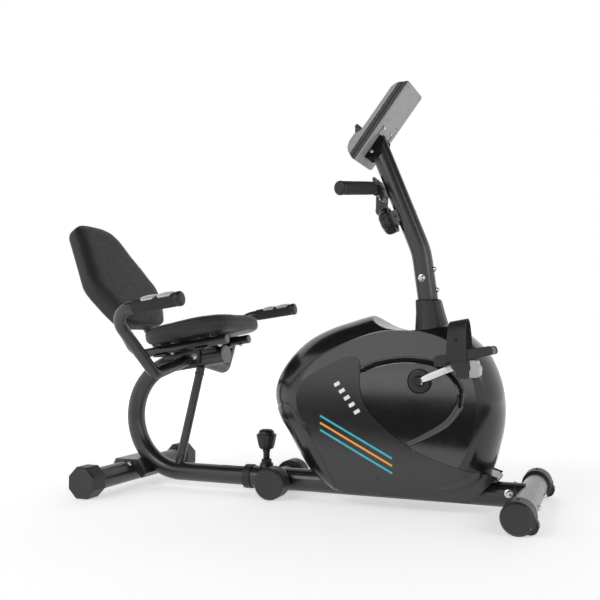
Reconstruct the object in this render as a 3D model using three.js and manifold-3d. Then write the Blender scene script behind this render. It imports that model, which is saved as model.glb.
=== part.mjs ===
// Recumbent exercise bike. Millimetres, +X towards the flywheel end, +Y to the rider's left, +Z up.
// The origin is on the floor, in the middle of the bike's length and width.
import * as THREE from 'three';
import { mergeVertices } from 'three/addons/utils/BufferGeometryUtils.js';
import Module from 'manifold-3d';

const wasm = await Module();
wasm.setup();

// ---------------------------------------------------------------- driving dimensions
const GAP = 0.3; // clearance between touching parts
const BIKE_SHIFT = 31; // places the middle of the overall length on the origin
const SIDES = [['right', -1], ['left', 1]]; // rider's right is -Y

const BASE_R = 30; // front base tube and the three foot tubes
const BASE_Z = 42;
const SLEEVE_BORE_R = 26.2;
const SLEEVE_REAR_X = -125;
const BORE_END_X = 190;
const REAR_TUBE_R = 25.5; // the C-bent tube that slides in the sleeve
const PIN_X = -86; // lock pin of the sleeve
const PIN_TIP_Z = 60; // the pin's tip rides in the slot along the sliding tube's top
const SADDLE_FRONT_X = 609; // centre line of the front foot
const FRONT_FOOT_HALF = 230;
const FRONT_CAP_R = 37;
const MIDDLE_FOOT_X = -37;
const MIDDLE_FOOT_HALF = 96;
const MIDDLE_CAP_R = 42;
const CAP_BORE_R = BASE_R + 2 * GAP;
const REAR_FOOT_X = -510;
const REAR_FOOT_HALF = 260;
const REAR_CAP_FLATS = 84; // across the flats of the octagon

const BEND_R = 157.5; // centre-line radius of the C bend
const BEND_CENTRE = [-361, 199.5];
const UPPER_RISE = 8.5; // degrees, slope of the C tube's upper run and of the seat rails
const UPPER_END_X = -214;
const REAR_TUBE_FRONT_X = 30;

const SEAT_HALF_WIDTH = 160;
const SEAT_DEPTH = 262;
const SEAT_THICK = 39;
const SEAT_CORNERS = 3.4; // superellipse power of the seat's outline
const RAIL_R = 12.5;
const RAIL_Y = 66;
const BACK_THICK = 48;
const BACK_RECLINE = 34; // degrees behind vertical
const GRIP_Y = 341;

const HOUSING_HALF = 92; // half width over the flat side faces
const SHELL_WALL = 3;
const CRANK = { x: 371, z: 317, arm: 121, angle: 22, armY: 108 };
const PULLEY_R = 100;
const FLYWHEEL = { x: 122, z: 238, r: 112, width: 34, pulleyR: 20 };
const BELT_Y = 36;
const POST_R = 25.5;

// ---------------------------------------------------------------- materials
function paint(color, roughness, metalness) {
  return new THREE.MeshStandardMaterial({ color, roughness, metalness });
}
const FRAME_BLACK = () => paint(0x232425, 0.42, 0.3);
const SHELL_BLACK = () => paint(0x2b2c2d, 0.3, 0.0);
const PLASTIC_BLACK = () => paint(0x262728, 0.55, 0.0);
const PLASTIC_GREY = () => paint(0x8a8b8c, 0.5, 0.0);
const FOAM_BLACK = () => paint(0x1d1e1f, 0.85, 0.0);
const VINYL_BLACK = () => paint(0x303132, 0.6, 0.0);
const CHROME = () => paint(0xd8dadc, 0.15, 1.0);
const STEEL = () => paint(0x9fa3a6, 0.35, 0.9);
const IRON = () => paint(0x4a4c4e, 0.55, 0.8);
const RUBBER = () => paint(0x151516, 0.8, 0.0);
const SCREEN_GREY = () => paint(0x6f7b74, 0.2, 0.0);

// ---------------------------------------------------------------- small geometry helpers
const deg = (a) => (a * Math.PI) / 180;

function toSolid(geometry) {
  const bare = geometry.clone();
  bare.deleteAttribute('normal');
  bare.deleteAttribute('uv');
  const merged = mergeVertices(bare, 1e-4);
  return new wasm.Manifold(new wasm.Mesh({
    numProp: 3,
    vertProperties: new Float32Array(merged.attributes.position.array),
    triVerts: new Uint32Array(merged.index.array),
  }));
}

function toGeometry(solid) {
  const mesh = solid.getMesh();
  const geometry = new THREE.BufferGeometry();
  geometry.setAttribute('position', new THREE.BufferAttribute(new Float32Array(mesh.vertProperties), 3));
  geometry.setIndex(new THREE.BufferAttribute(new Uint32Array(mesh.triVerts), 1));
  geometry.computeVertexNormals();
  return geometry;
}

const solids = (geometries) => geometries.map(toSolid);
const join = (...geometries) => toGeometry(wasm.Manifold.union(solids(geometries)));
const cut = (geometry, ...tools) => {
  const tool = wasm.Manifold.union(solids(tools));
  return toGeometry(toSolid(geometry).subtract(tool));
};
const common = (a, b) => toGeometry(toSolid(a).intersect(toSolid(b)));

function box(x0, x1, y0, y1, z0, z1) {
  const geometry = new THREE.BoxGeometry(x1 - x0, y1 - y0, z1 - z0);
  return geometry.translate((x0 + x1) / 2, (y0 + y1) / 2, (z0 + z1) / 2);
}

// A round bar from point a to point b.
function bar(a, b, radius, sides = 24, endRadius = radius) {
  const start = new THREE.Vector3(...a);
  const end = new THREE.Vector3(...b);
  const geometry = new THREE.CylinderGeometry(endRadius, radius, start.distanceTo(end), sides);
  const axis = end.clone().sub(start).normalize();
  geometry.applyQuaternion(new THREE.Quaternion().setFromUnitVectors(new THREE.Vector3(0, 1, 0), axis));
  const middle = start.add(end).multiplyScalar(0.5);
  return geometry.translate(middle.x, middle.y, middle.z);
}

const barX = (x0, x1, y, z, radius, sides) => bar([x0, y, z], [x1, y, z], radius, sides);
const barY = (y0, y1, x, z, radius, sides) => bar([x, y0, z], [x, y1, z], radius, sides);

// A turned part: profile of [radius, height] pairs that starts and ends on the axis.
function turned(profile, segments = 28) {
  const points = profile.map(([r, h]) => new THREE.Vector2(r, h));
  return new THREE.LatheGeometry(points, segments).rotateX(Math.PI / 2);
}

// A ring turned about +Z, closed on itself.
function ring(inner, outer, height, segments = 28) {
  const profile = [[inner, 0], [outer, 0], [outer, height], [inner, height], [inner, 0]];
  const points = profile.map(([r, h]) => new THREE.Vector2(r, h));
  return new THREE.LatheGeometry(points, segments).rotateX(Math.PI / 2);
}

// Turns a shape made about +Z so that +Z points along direction, then moves it to place.
function aim(geometry, direction, place) {
  const axis = new THREE.Vector3(...direction).normalize();
  geometry.applyQuaternion(new THREE.Quaternion().setFromUnitVectors(new THREE.Vector3(0, 0, 1), axis));
  return geometry.translate(...place);
}

// A plate with its outline in X and Z, from y0 to y1.
function plateXZ(outline, y0, y1, holes = []) {
  const shape = new THREE.Shape(outline.map(([x, z]) => new THREE.Vector2(x, z)));
  for (const [x, z, r] of holes) {
    const hole = new THREE.Path();
    hole.absarc(x, z, r, 0, 2 * Math.PI, true);
    shape.holes.push(hole);
  }
  const options = { depth: y1 - y0, bevelEnabled: false, curveSegments: 12 };
  const geometry = new THREE.ExtrudeGeometry(shape, options);
  return geometry.rotateX(Math.PI / 2).translate(0, y1, 0);
}

// A curve through chosen stations, one extrusion step for each.
class Stations extends THREE.Curve {
  constructor(points) {
    super();
    this.points = points;
  }
  getPoint(t, target = new THREE.Vector3()) {
    const f = t * (this.points.length - 1);
    const i = Math.min(Math.floor(f), this.points.length - 2);
    return target.lerpVectors(this.points[i], this.points[i + 1], f - i);
  }
  getPointAt(u, target) {
    return this.getPoint(u, target);
  }
  getTangentAt(u, target = new THREE.Vector3()) {
    const last = this.points.length - 1;
    const i = Math.round(u * last);
    const before = this.points[Math.max(i - 1, 0)];
    const after = this.points[Math.min(i + 1, last)];
    return target.subVectors(after, before).normalize();
  }
}

// Stations of a bent bar: corners [x, y, z, bendRadius], each corner rounded by an arc.
function bentStations(corners, arcStep = 15) {
  const points = corners.map(([x, y, z]) => new THREE.Vector3(x, y, z));
  const stations = [points[0]];
  for (let i = 1; i < points.length - 1; i += 1) {
    const toPrevious = points[i - 1].clone().sub(points[i]).normalize();
    const toNext = points[i + 1].clone().sub(points[i]).normalize();
    const half = toPrevious.angleTo(toNext) / 2;
    const radius = corners[i][3];
    const inward = toPrevious.clone().add(toNext).normalize();
    const centre = inward.multiplyScalar(radius / Math.sin(half)).add(points[i]);
    const from = toPrevious.multiplyScalar(radius / Math.tan(half)).add(points[i]).sub(centre);
    const to = toNext.multiplyScalar(radius / Math.tan(half)).add(points[i]).sub(centre);
    const sweep = from.angleTo(to);
    const steps = Math.max(2, Math.round(sweep / deg(arcStep)));
    const normal = from.clone().cross(to).normalize();
    for (let k = 0; k <= steps; k += 1) {
      stations.push(from.clone().applyAxisAngle(normal, (sweep * k) / steps).add(centre));
    }
  }
  stations.push(points[points.length - 1]);
  return stations;
}

function roundShape(radius, sides) {
  const points = [];
  for (let i = 0; i < sides; i += 1) {
    const a = (2 * Math.PI * i) / sides;
    points.push(new THREE.Vector2(radius * Math.cos(a), radius * Math.sin(a)));
  }
  return new THREE.Shape(points);
}

function sweep(shape, stations) {
  return new THREE.ExtrudeGeometry(shape, {
    steps: stations.length - 1,
    bevelEnabled: false,
    extrudePath: new Stations(stations),
  });
}

const tube = (corners, radius, sides = 16, arcStep = 15) => (
  sweep(roundShape(radius, sides), bentStations(corners, arcStep)));

// A solid skinned over sections: each section is a list of Vector3, all of one length.
function loft(sections) {
  const count = sections[0].length;
  const positions = [];
  const index = [];
  for (const section of sections) {
    for (const p of section) {
      positions.push(p.x, p.y, p.z);
    }
  }
  for (let s = 0; s < sections.length - 1; s += 1) {
    for (let i = 0; i < count; i += 1) {
      const j = (i + 1) % count;
      const a = s * count + i;
      const b = s * count + j;
      index.push(a, b, b + count, a, b + count, a + count);
    }
  }
  const fan = (offset, flip) => {
    for (let i = 1; i < count - 1; i += 1) {
      index.push(offset, offset + (flip ? i + 1 : i), offset + (flip ? i : i + 1));
    }
  };
  fan(0, true);
  fan((sections.length - 1) * count, false);
  const geometry = new THREE.BufferGeometry();
  geometry.setAttribute('position', new THREE.BufferAttribute(new Float32Array(positions), 3));
  geometry.setIndex(index);
  const solid = toSolid(geometry);
  if (solid.volume() > 0) {
    return toGeometry(solid);
  }
  for (let i = 0; i < index.length; i += 3) {
    [index[i + 1], index[i + 2]] = [index[i + 2], index[i + 1]];
  }
  geometry.setIndex(index);
  return toGeometry(toSolid(geometry));
}

// A rounded rectangle section in a plane given by its centre and two unit axes.
function roundedSection(centre, axisU, axisV, halfU, halfV, power, count) {
  const section = [];
  for (let i = 0; i < count; i += 1) {
    const a = (2 * Math.PI * i) / count;
    const c = Math.cos(a);
    const s = Math.sin(a);
    const u = halfU * Math.sign(c) * Math.abs(c) ** (2 / power);
    const v = halfV * Math.sign(s) * Math.abs(s) ** (2 / power);
    section.push(centre.clone().addScaledVector(axisU, u).addScaledVector(axisV, v));
  }
  return section;
}

// ---------------------------------------------------------------- assembly
const bike = new THREE.Group();
bike.name = 'recumbent_bike';
bike.position.set(BIKE_SHIFT, 0, 0);

function add(name, geometry, material) {
  const mesh = new THREE.Mesh(geometry, material);
  mesh.name = name;
  bike.add(mesh);
  return mesh;
}

// ---------------------------------------------------------------- front frame
const IDLER = { x: 240, z: 199, r: 15, pivotX: 300, pivotZ: 120 };
const MAGNET_PIVOT = { x: 79, z: 113 };
const MAGNET_REST_SWING = deg(1.2); // how far it is swung back at rest

// Welded ear and the pin that the magnet carrier swings on.
function magnetLug() {
  const { x, z } = MAGNET_PIVOT;
  const ear = plateXZ([[x - 4, 66], [x + 18, 66], [x + 9, z + 8], [x - 9, z + 8], [x - 9, z - 6]], 5, 9);
  return join(ear, barY(-28, 7, x, z, 4, 16));
}

// Welded block and pin for the belt idler's arm.
function idlerLug() {
  const { pivotX, pivotZ } = IDLER;
  return join(box(pivotX - 12, pivotX + 12, 8, 21, 60, pivotZ + 12), barY(15, 33, pivotX, pivotZ, 5, 16));
}

function frontBaseTube() {
  const main = barX(SLEEVE_REAR_X, SADDLE_FRONT_X - 8, 0, BASE_Z, BASE_R, 24);
  const stubs = barY(-62, 62, MIDDLE_FOOT_X, BASE_Z, BASE_R, 24);
  const pinBoss = bar([PIN_X, 0, BASE_Z], [PIN_X, 0, 84], 15, 16);
  const pinBarrel = bar([PIN_X, 0, 80], [PIN_X, 0, 92], 11, 16);
  const whole = join(main, stubs, pinBoss, pinBarrel, magnetLug(), idlerLug());
  const bore = barX(SLEEVE_REAR_X - 5, BORE_END_X, 0, BASE_Z, SLEEVE_BORE_R, 20);
  const pinHole = bar([PIN_X, 0, BASE_Z], [PIN_X, 0, 100], 5.4, 12);
  const footSeat = barY(-80, 80, SADDLE_FRONT_X, FRONT_CAP_R, BASE_R + GAP, 24);
  return cut(whole, bore, pinHole, footSeat);
}

function sleeveCollar() {
  const length = 22;
  return aim(ring(REAR_TUBE_R + 0.5, 33, length, 28), [1, 0, 0], [SLEEVE_REAR_X - GAP - length, 0, BASE_Z]);
}

// Pull knob with its lock pin; it lifts to let the rear frame slide.
function adjusterKnob() {
  const pin = [[0, PIN_TIP_Z], [5, PIN_TIP_Z], [5, 94], [9, 94.5], [9, 112], [14, 120]];
  const head = [[22, 124], [27, 140], [28.5, 155], [25, 163], [21, 166], [18, 172], [0, 174]];
  return turned([...pin, ...head], 12).translate(PIN_X, 0, 0);
}

function footTube(x, z, halfLength, radius) {
  return barY(-halfLength, halfLength, x, z, radius, 24);
}

// A round end cap about +Z: outer face at the origin, chamfered rims, a hollow for the tube end.
function roundCap(radius, length, tubeRadius, depth) {
  const profile = [[0, 0], [radius - 5, 0], [radius, 5], [radius, length - 3], [radius - 3, length],
    [tubeRadius, length], [tubeRadius, length - depth], [0, length - depth]];
  return turned(profile, 22);
}

const ROLLER = { x: 634, z: 22, r: 18 }; // transport rollers in the front caps

// A wall across the bike's width between two distances in from a side's outer face.
function inFromFace(side, face, near, far) {
  return [face - side * near, face - side * far].sort((a, b) => a - b);
}

function frontCap(side) {
  const length = 58;
  const face = side * FRONT_FOOT_HALF;
  const cap = aim(roundCap(FRONT_CAP_R, length, CAP_BORE_R, length - 12), [0, -side, 0],
    [SADDLE_FRONT_X, face, FRONT_CAP_R]);
  const [y0, y1] = inFromFace(side, face, 4, 40);
  const cheek = plateXZ([[600, 4], [632, 7], [646, 20], [648, 40], [630, 60], [600, 66]], y0, y1);
  const tubeSpace = barY(y0 - 60, y1 + 60, SADDLE_FRONT_X, FRONT_CAP_R, BASE_R + GAP, 22);
  const joined = join(cap, cut(cheek, tubeSpace));
  const [slot0, slot1] = inFromFace(side, face, 9, 35);
  const wheelSpace = barY(slot0, slot1, ROLLER.x, ROLLER.z, ROLLER.r + 2, 18);
  const pinHole = barY(slot0 - 3.6, slot1 + 3.6, ROLLER.x, ROLLER.z, 3.6, 10);
  return cut(joined, wheelSpace, pinHole);
}

function transportRoller(side) {
  const y = side * (FRONT_FOOT_HALF - 22);
  const wheel = barY(y - 12.5, y + 12.5, ROLLER.x, ROLLER.z, ROLLER.r, 20);
  return join(wheel, barY(y - 16, y + 16, ROLLER.x, ROLLER.z, 3, 10));
}

function middleCap(side) {
  return aim(roundCap(MIDDLE_CAP_R, 52, CAP_BORE_R, 20), [0, -side, 0],
    [MIDDLE_FOOT_X, side * MIDDLE_FOOT_HALF, MIDDLE_CAP_R]);
}

// Upright inside the housing: the post's socket, the bottom-bracket shell and the weld foot.
function uprightStub() {
  const foot = [428, 0, 60];
  const top = [378.6, 0, 470];
  const pillar = bar(foot, top, 25, 18);
  const shell = barY(-34, 24, CRANK.x, CRANK.z, 21, 18);
  const web = plateXZ([[CRANK.x - 10, 298], [400, 270], [400, 350], [CRANK.x - 5, 332]], -5, 5);
  const gusset = plateXZ([[330, 72.5], [417, 72.5], [410, 150]], -4, 4);
  const whole = join(pillar, shell, web, gusset);
  return cut(whole, barY(-40, 40, CRANK.x, CRANK.z, 16.3, 18), barX(300, 500, 0, BASE_Z, BASE_R + GAP, 24));
}

function crankBearing(side) {
  const y = side < 0 ? -34 : 12.5;
  return aim(ring(8.8, 15.8, 11.5, 18), [0, 1, 0], [CRANK.x, y, CRANK.z]);
}

function flywheelBracket(side) {
  const y = side < 0 ? -38 : 46;
  const outline = [[98, 76], [170, 76], [150, 160], [134, 246], [122, 252], [110, 246], [94, 160]];
  const plate = plateXZ(outline, y, y + 4, [[FLYWHEEL.x, FLYWHEEL.z, 6.3]]);
  const [flange0, flange1] = side < 0 ? [y, -8] : [10, y + 4];
  return join(plate, box(98, 170, flange0, flange1, 72.6, 76.6));
}

// ---------------------------------------------------------------- drive
function crankAxle() {
  const main = barY(-112, 112, CRANK.x, CRANK.z, 8.5, 16);
  const flange = barY(25, 31, CRANK.x, CRANK.z, 20, 20);
  return join(main, flange);
}

function crankPulley() {
  const disc = aim(ring(8.8, PULLEY_R, 4, 28), [0, 1, 0], [CRANK.x, 31.3, CRANK.z]);
  const rim = aim(ring(PULLEY_R - 9, PULLEY_R, 14, 28), [0, 1, 0], [CRANK.x, 31.3, CRANK.z]);
  const windows = [];
  for (let i = 0; i < 5; i += 1) {
    const a = deg(72 * i);
    windows.push(barY(20, 60, CRANK.x + 55 * Math.cos(a), CRANK.z + 55 * Math.sin(a), 20, 10));
  }
  return cut(join(disc, rim), ...windows);
}

// Loop round the two pulleys; the idler roller bears on its lower run.
function beltOutline(offset) {
  const dx = CRANK.x - FLYWHEEL.x;
  const dz = CRANK.z - FLYWHEEL.z;
  const tilt = Math.atan2(dz, dx);
  const spread = Math.acos((PULLEY_R - FLYWHEEL.pulleyR) / Math.hypot(dx, dz));
  const points = [];
  const arc = (x, z, r, from, to, steps) => {
    for (let i = 0; i <= steps; i += 1) {
      const a = from + ((to - from) * i) / steps;
      points.push([x + r * Math.cos(a), z + r * Math.sin(a)]);
    }
  };
  const wrap = tilt + Math.PI;
  arc(CRANK.x, CRANK.z, PULLEY_R + offset, wrap + spread, wrap + 2 * Math.PI - spread, 24);
  arc(FLYWHEEL.x, FLYWHEEL.z, FLYWHEEL.pulleyR + offset, wrap - spread, wrap + spread, 12);
  return points;
}

function driveBelt() {
  const inside = plateXZ(beltOutline(0.4), BELT_Y - 10, BELT_Y + 12);
  return cut(plateXZ(beltOutline(2.6), BELT_Y - 4, BELT_Y + 7), inside);
}

function flywheel() {
  const half = FLYWHEEL.width / 2;
  const { r, pulleyR } = FLYWHEEL;
  const back = -half - 12;
  const outerFace = [[12.5, back + 4], [30, back + 4], [34, back + 8], [r - 22, back + 8], [r - 18, back]];
  const rim = [[r, back], [r, back + 30]];
  const innerFace = [[r - 18, back + 30], [r - 22, back + 22], [34, back + 22], [30, back + 26]];
  const hub = [[22, back + 30], [22, 29], [pulleyR, 30.5], [pulleyR, 43.5], [12.5, 43.5], [12.5, back + 4]];
  const profile = [...outerFace, ...rim, ...innerFace, ...hub];
  const points = profile.map(([radius, along]) => new THREE.Vector2(radius, along));
  const body = new THREE.LatheGeometry(points, 24).rotateX(Math.PI / 2);
  return aim(body, [0, 1, 0], [FLYWHEEL.x, 0, FLYWHEEL.z]);
}

function flywheelAxle() {
  const rod = barY(-48, 58, FLYWHEEL.x, FLYWHEEL.z, 6, 12);
  const hub = barY(-24, 43.3, FLYWHEEL.x, FLYWHEEL.z, 12, 16);
  const nutSpans = [[-44, -38.3], [50.3, 56]];
  const nuts = nutSpans.map(([y0, y1]) => barY(y0, y1, FLYWHEEL.x, FLYWHEEL.z, 9, 6));
  return join(rod, hub, ...nuts);
}

function idlerArm() {
  const dx = IDLER.x - IDLER.pivotX;
  const dz = IDLER.z - IDLER.pivotZ;
  const a = Math.atan2(dz, dx);
  const nx = -Math.sin(a) * 11;
  const nz = Math.cos(a) * 11;
  const outline = [[IDLER.pivotX + nx, IDLER.pivotZ + nz], [IDLER.x + nx, IDLER.z + nz],
    [IDLER.x - nx, IDLER.z - nz], [IDLER.pivotX - nx, IDLER.pivotZ - nz]];
  const arm = plateXZ(outline, 22, 27);
  const pin = barY(22, 47, IDLER.x, IDLER.z, 5, 16);
  const pivot = barY(22, 31, IDLER.pivotX, IDLER.pivotZ, 11, 20);
  const pivotHole = barY(10, 40, IDLER.pivotX, IDLER.pivotZ, 5.1, 16);
  return cut(join(arm, pin, pivot), pivotHole);
}

function idlerRoller() {
  return aim(ring(5.3, IDLER.r, 15, 24), [0, 1, 0], [IDLER.x, BELT_Y - 6.5, IDLER.z]);
}

// A band of the rim's curve as an outline, from an inner to an outer distance off the flywheel.
function rimBand(near, far, from, to, steps) {
  const points = [];
  const arcPoint = (gap, a) => {
    const r = FLYWHEEL.r + gap;
    return [FLYWHEEL.x + r * Math.cos(a), FLYWHEEL.z + r * Math.sin(a)];
  };
  for (let i = 0; i <= steps; i += 1) {
    points.push(arcPoint(far, from + ((to - from) * i) / steps));
  }
  for (let i = steps; i >= 0; i -= 1) {
    points.push(arcPoint(near, from + ((to - from) * i) / steps));
  }
  return points;
}

// Curved magnet carrier, modelled swung clear of the flywheel's rim for the lightest resistance.
function magnetBracket() {
  const { x, z } = MAGNET_PIVOT;
  const arc = plateXZ(rimBand(12, 18, deg(176), deg(250), 10), -23, 1);
  const magnets = plateXZ(rimBand(5, 13, deg(182), deg(225), 6), -22, 0);
  const ear = barY(-25, 4, x, z, 9, 16);
  const whole = cut(join(arc, magnets, ear), barY(-40, 20, x, z, 4.1, 16));
  return whole.translate(-x, 0, -z).rotateY(-MAGNET_REST_SWING).translate(x, 0, z);
}

// ---------------------------------------------------------------- housing
// Pairs of [ridge, side face] points around the housing, clockwise seen from the rider's right.
const HOUSING_OUTLINE = [
  [[-50, 269], [44, 268]], [[-46, 300], [52, 308]], [[-27, 340], [71, 342]], [[11, 385], [108, 374]],
  [[61, 424], [153, 398]], [[118, 450], [207, 420]], [[175, 467], [250, 434]], [[230, 481], [290, 441]],
  [[300, 485], [335, 443]], [[370, 479], [385, 436]], [[430, 460], [425, 423]], [[482, 424], [458, 402]],
  [[524, 380], [484, 368]], [[547, 330], [500, 322]], [[559, 271], [507, 270]], [[557, 212], [502, 216]],
  [[545, 157], [488, 165]], [[524, 95], [462, 115]], [[488, 60], [425, 78]], [[420, 44], [370, 52]],
  [[300, 40], [290, 42]], [[180, 38], [210, 39]], [[110, 42], [160, 42]], [[57, 73], [135, 92]],
  [[21, 125], [104, 145]], [[-10, 176], [72, 190]], [[-33, 212], [52, 225]]];

function outlineCurve(which, inset, count) {
  const centre = new THREE.Vector2(265, 255);
  const points = HOUSING_OUTLINE.map((pair) => {
    const p = new THREE.Vector2(...pair[which]);
    const inward = centre.clone().sub(p).normalize();
    return p.addScaledVector(inward, inset);
  });
  const spatial = points.map((p) => new THREE.Vector3(p.x, 0, p.y));
  const curve = new THREE.CatmullRomCurve3(spatial, true, 'centripetal');
  const samples = [];
  for (let i = 0; i < count; i += 1) {
    samples.push(curve.getPoint(i / count));
  }
  return samples;
}

// One half of the housing's egg-shaped body, from the seam at y = side*GAP/2 to the face at y = side*half.
function eggBody(side, inset, half, rows, count) {
  const ridge = outlineCurve(0, inset, count);
  const face = outlineCurve(1, inset, count);
  const sections = [];
  for (let k = 0; k <= rows; k += 1) {
    const section = ridge.map((p, i) => {
      const frontness = THREE.MathUtils.smoothstep(p.x, 380, 540);
      const full = deg(THREE.MathUtils.lerp(64, 88, frontness));
      const turn = full * (k / rows);
      const mix = (1 - Math.cos(turn)) / (1 - Math.cos(full));
      const y = (half * Math.sin(turn)) / Math.sin(full);
      const x = THREE.MathUtils.lerp(p.x, face[i].x, mix);
      const z = THREE.MathUtils.lerp(p.z, face[i].z, mix);
      return new THREE.Vector3(x, side * y, z);
    });
    sections.push(section);
  }
  return loft(sections);
}

// The lower wing panel that carries the coloured sweeps and runs forward along the base tube.
const WING_OUTLINE = [
  [56, 308], [130, 352], [190, 377], [208, 374], [219, 356], [219, 300], [235, 249], [269, 212],
  [331, 164], [384, 137], [478, 107], [546, 89], [483, 26], [387, 34], [275, 42], [166, 40],
  [146, 66], [124, 112], [98, 153], [70, 192], [52, 224], [45, 268]];

function wingHalf(x) {
  return HOUSING_HALF + 1.2 - 44 * THREE.MathUtils.clamp((x - 330) / 216, 0, 1) ** 1.3;
}

function wingPanel(side) {
  const cells = [];
  const xs = [30, 330, 380, 430, 480, 560];
  const outline = plateXZ(WING_OUTLINE, -200, 200);
  for (let i = 0; i < xs.length - 1; i += 1) {
    const a = xs[i] - 0.01;
    const b = xs[i + 1] + 0.01;
    const corner = (x, inner, z) => new THREE.Vector3(x, side * (wingHalf(x) - inner), z);
    const lower = [corner(a, 3, 0), corner(b, 3, 0), corner(b, 0, 0), corner(a, 0, 0)];
    const upper = lower.map((p) => p.clone().setZ(480));
    cells.push(loft([lower, upper]));
  }
  return common(join(...cells), outline);
}

// The dip in the top of the housing behind the post.
const SCOOP_OUTLINE = [
  [232, 492], [243, 476], [262, 458], [290, 446], [325, 440],
  [395, 442], [440, 462], [450, 500], [300, 560], [225, 540]];

function housingShell(side) {
  const outer = toSolid(eggBody(side, 0, HOUSING_HALF, 5, 38));
  const inner = toSolid(eggBody(side, SHELL_WALL + 1.5, HOUSING_HALF - SHELL_WALL, 3, 27));
  const [seam0, seam1] = [(side * GAP) / 2, -side * 200].sort((a, b) => a - b);
  const seam = toSolid(box(-200, 700, seam0, seam1, -50, 600));
  const scoop = toSolid(plateXZ(SCOOP_OUTLINE, -200, 200));
  const coverSpace = toSolid(box(328, 432, -47, 47, 380, 560));
  const slotHalf = BASE_R + GAP;
  const belowTube = box(-300, 800, -slotHalf, slotHalf, -20, BASE_Z);
  const tubeSlot = toSolid(join(barX(-300, 800, 0, BASE_Z, slotHalf, 24), belowTube));
  const crankHole = toSolid(barY(-200, 200, CRANK.x, CRANK.z, 17, 20));
  const body = outer.subtract(inner).add(toSolid(wingPanel(side)));
  const bossPlace = [CRANK.x, side * (HOUSING_HALF - 3), CRANK.z];
  const bossRing = toSolid(aim(ring(17, 27, 6, 20), [0, side, 0], bossPlace));
  const spaces = wasm.Manifold.union([seam, scoop, coverSpace, tubeSlot, crankHole]);
  const open = body.subtract(spaces);
  const pieces = open.add(bossRing).decompose();
  pieces.sort((a, b) => b.volume() - a.volume());
  return toGeometry(pieces[0]);
}

// ---------------------------------------------------------------- cranks and pedals
const PEDAL_X = CRANK.x + CRANK.arm * Math.cos(deg(CRANK.angle));
const PEDAL_Z = CRANK.z + CRANK.arm * Math.sin(deg(CRANK.angle));

// Right-hand shapes; the left ones are the same turned half a turn about the crank axle.
function crankArm() {
  const y = -CRANK.armY;
  const along = new THREE.Vector3(Math.cos(deg(CRANK.angle)), 0, Math.sin(deg(CRANK.angle)));
  const across = new THREE.Vector3(0, 1, 0);
  const up = new THREE.Vector3().crossVectors(along, across);
  const sections = [];
  for (const [s, w, t] of [[8, 13, 6.5], [30, 11, 6], [100, 9.5, 5.5], [CRANK.arm + 4, 10.5, 6]]) {
    const centre = new THREE.Vector3(CRANK.x, y, CRANK.z).addScaledVector(along, s);
    sections.push(roundedSection(centre, up, across, w, t, 4, 12));
  }
  const hub = barY(y - 9, y + 11, CRANK.x, CRANK.z, 13.5, 18);
  const eye = barY(y - 6, y + 6, PEDAL_X, PEDAL_Z, 12.5, 16);
  const bore = barY(y - 20, y + 20, CRANK.x, CRANK.z, 8.9, 16);
  const pedalBore = barY(y - 20, y + 20, PEDAL_X, PEDAL_Z, 6.4, 12);
  return cut(join(loft(sections), hub, eye), bore, pedalBore);
}

function pedal() {
  const y0 = -CRANK.armY - 9;
  const y1 = y0 - 76;
  const x = PEDAL_X;
  const z = PEDAL_Z;
  const spindle = barY(y1 + 4, y0 + 15, x, z, 6, 12);
  const barrel = barY(y1 + 2, y0 - 1, x, z, 13, 16);
  const tail = [[x - 54, z - 6], [x - 48, z - 13]];
  const nose = [[x + 72, z + 20], [x + 70, z + 33], [x + 44, z + 28], [x - 52, z + 12]];
  const belly = [[x - 22, z - 14], [x - 18, z - 28], [x - 8, z - 34], [x + 26, z - 32], [x + 33, z - 6]];
  const innerPlate = plateXZ([...tail, [x + 44, z - 2], ...nose], y0 - 8, y0 - 1);
  const outerPlate = plateXZ([...tail, ...belly, ...nose], y1, y1 + 8);
  const rearBar = plateXZ([...tail, [x - 38, z - 11], [x - 40, z + 14], [x - 52, z + 12]], y1, y0 - 1);
  const frontOutline = [[x + 50, z + 2], [x + 72, z + 20], [x + 70, z + 33], [x + 48, z + 28]];
  const frontBar = plateXZ(frontOutline, y1, y0 - 1);
  const weight = box(x - 4, x + 34, y1, y1 + 46, z - 32, z - 14);
  return join(spindle, barrel, innerPlate, outerPlate, rearBar, frontBar, weight);
}

const STRAP_LEAN = new THREE.Vector3(2, 0, 0); // the strap sits just ahead of the spindle
const STRAP_THICK = 2.2;

function pedalStrap() {
  const y0 = -CRANK.armY - 9;
  const y1 = y0 - 76;
  const z = PEDAL_Z;
  const outerRun = [[y1 - 1.8, z - 22], [y1 - 1.8, z + 20], [y1 + 2, z + 58], [y1 + 16, z + 88]];
  const innerRun = [[y0 - 16, z + 90], [y0 - 4, z + 66], [y0 + 0.8, z + 34], [y0 + 0.8, z + 6]];
  const path = [...outerRun, [y1 + 38, z + 98], ...innerRun];
  const points = path.map(([py, pz]) => new THREE.Vector3(PEDAL_X, py, pz));
  const line = new THREE.CatmullRomCurve3(points, false, 'centripetal');
  const sections = [];
  const steps = 20;
  for (let i = 0; i <= steps; i += 1) {
    const centre = line.getPoint(i / steps).add(STRAP_LEAN);
    const along = line.getTangent(i / steps);
    const across = new THREE.Vector3(1, 0, 0);
    const normal = new THREE.Vector3().crossVectors(along, across);
    const half = 22.5 - 4 * Math.sin((Math.PI * i) / steps);
    const corner = (a, b) => {
      const edge = centre.clone().addScaledVector(across, a * half);
      return edge.addScaledVector(normal, (b * STRAP_THICK) / 2);
    };
    sections.push([corner(-1, -1), corner(1, -1), corner(1, 1), corner(-1, 1)]);
  }
  return loft(sections);
}

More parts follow.
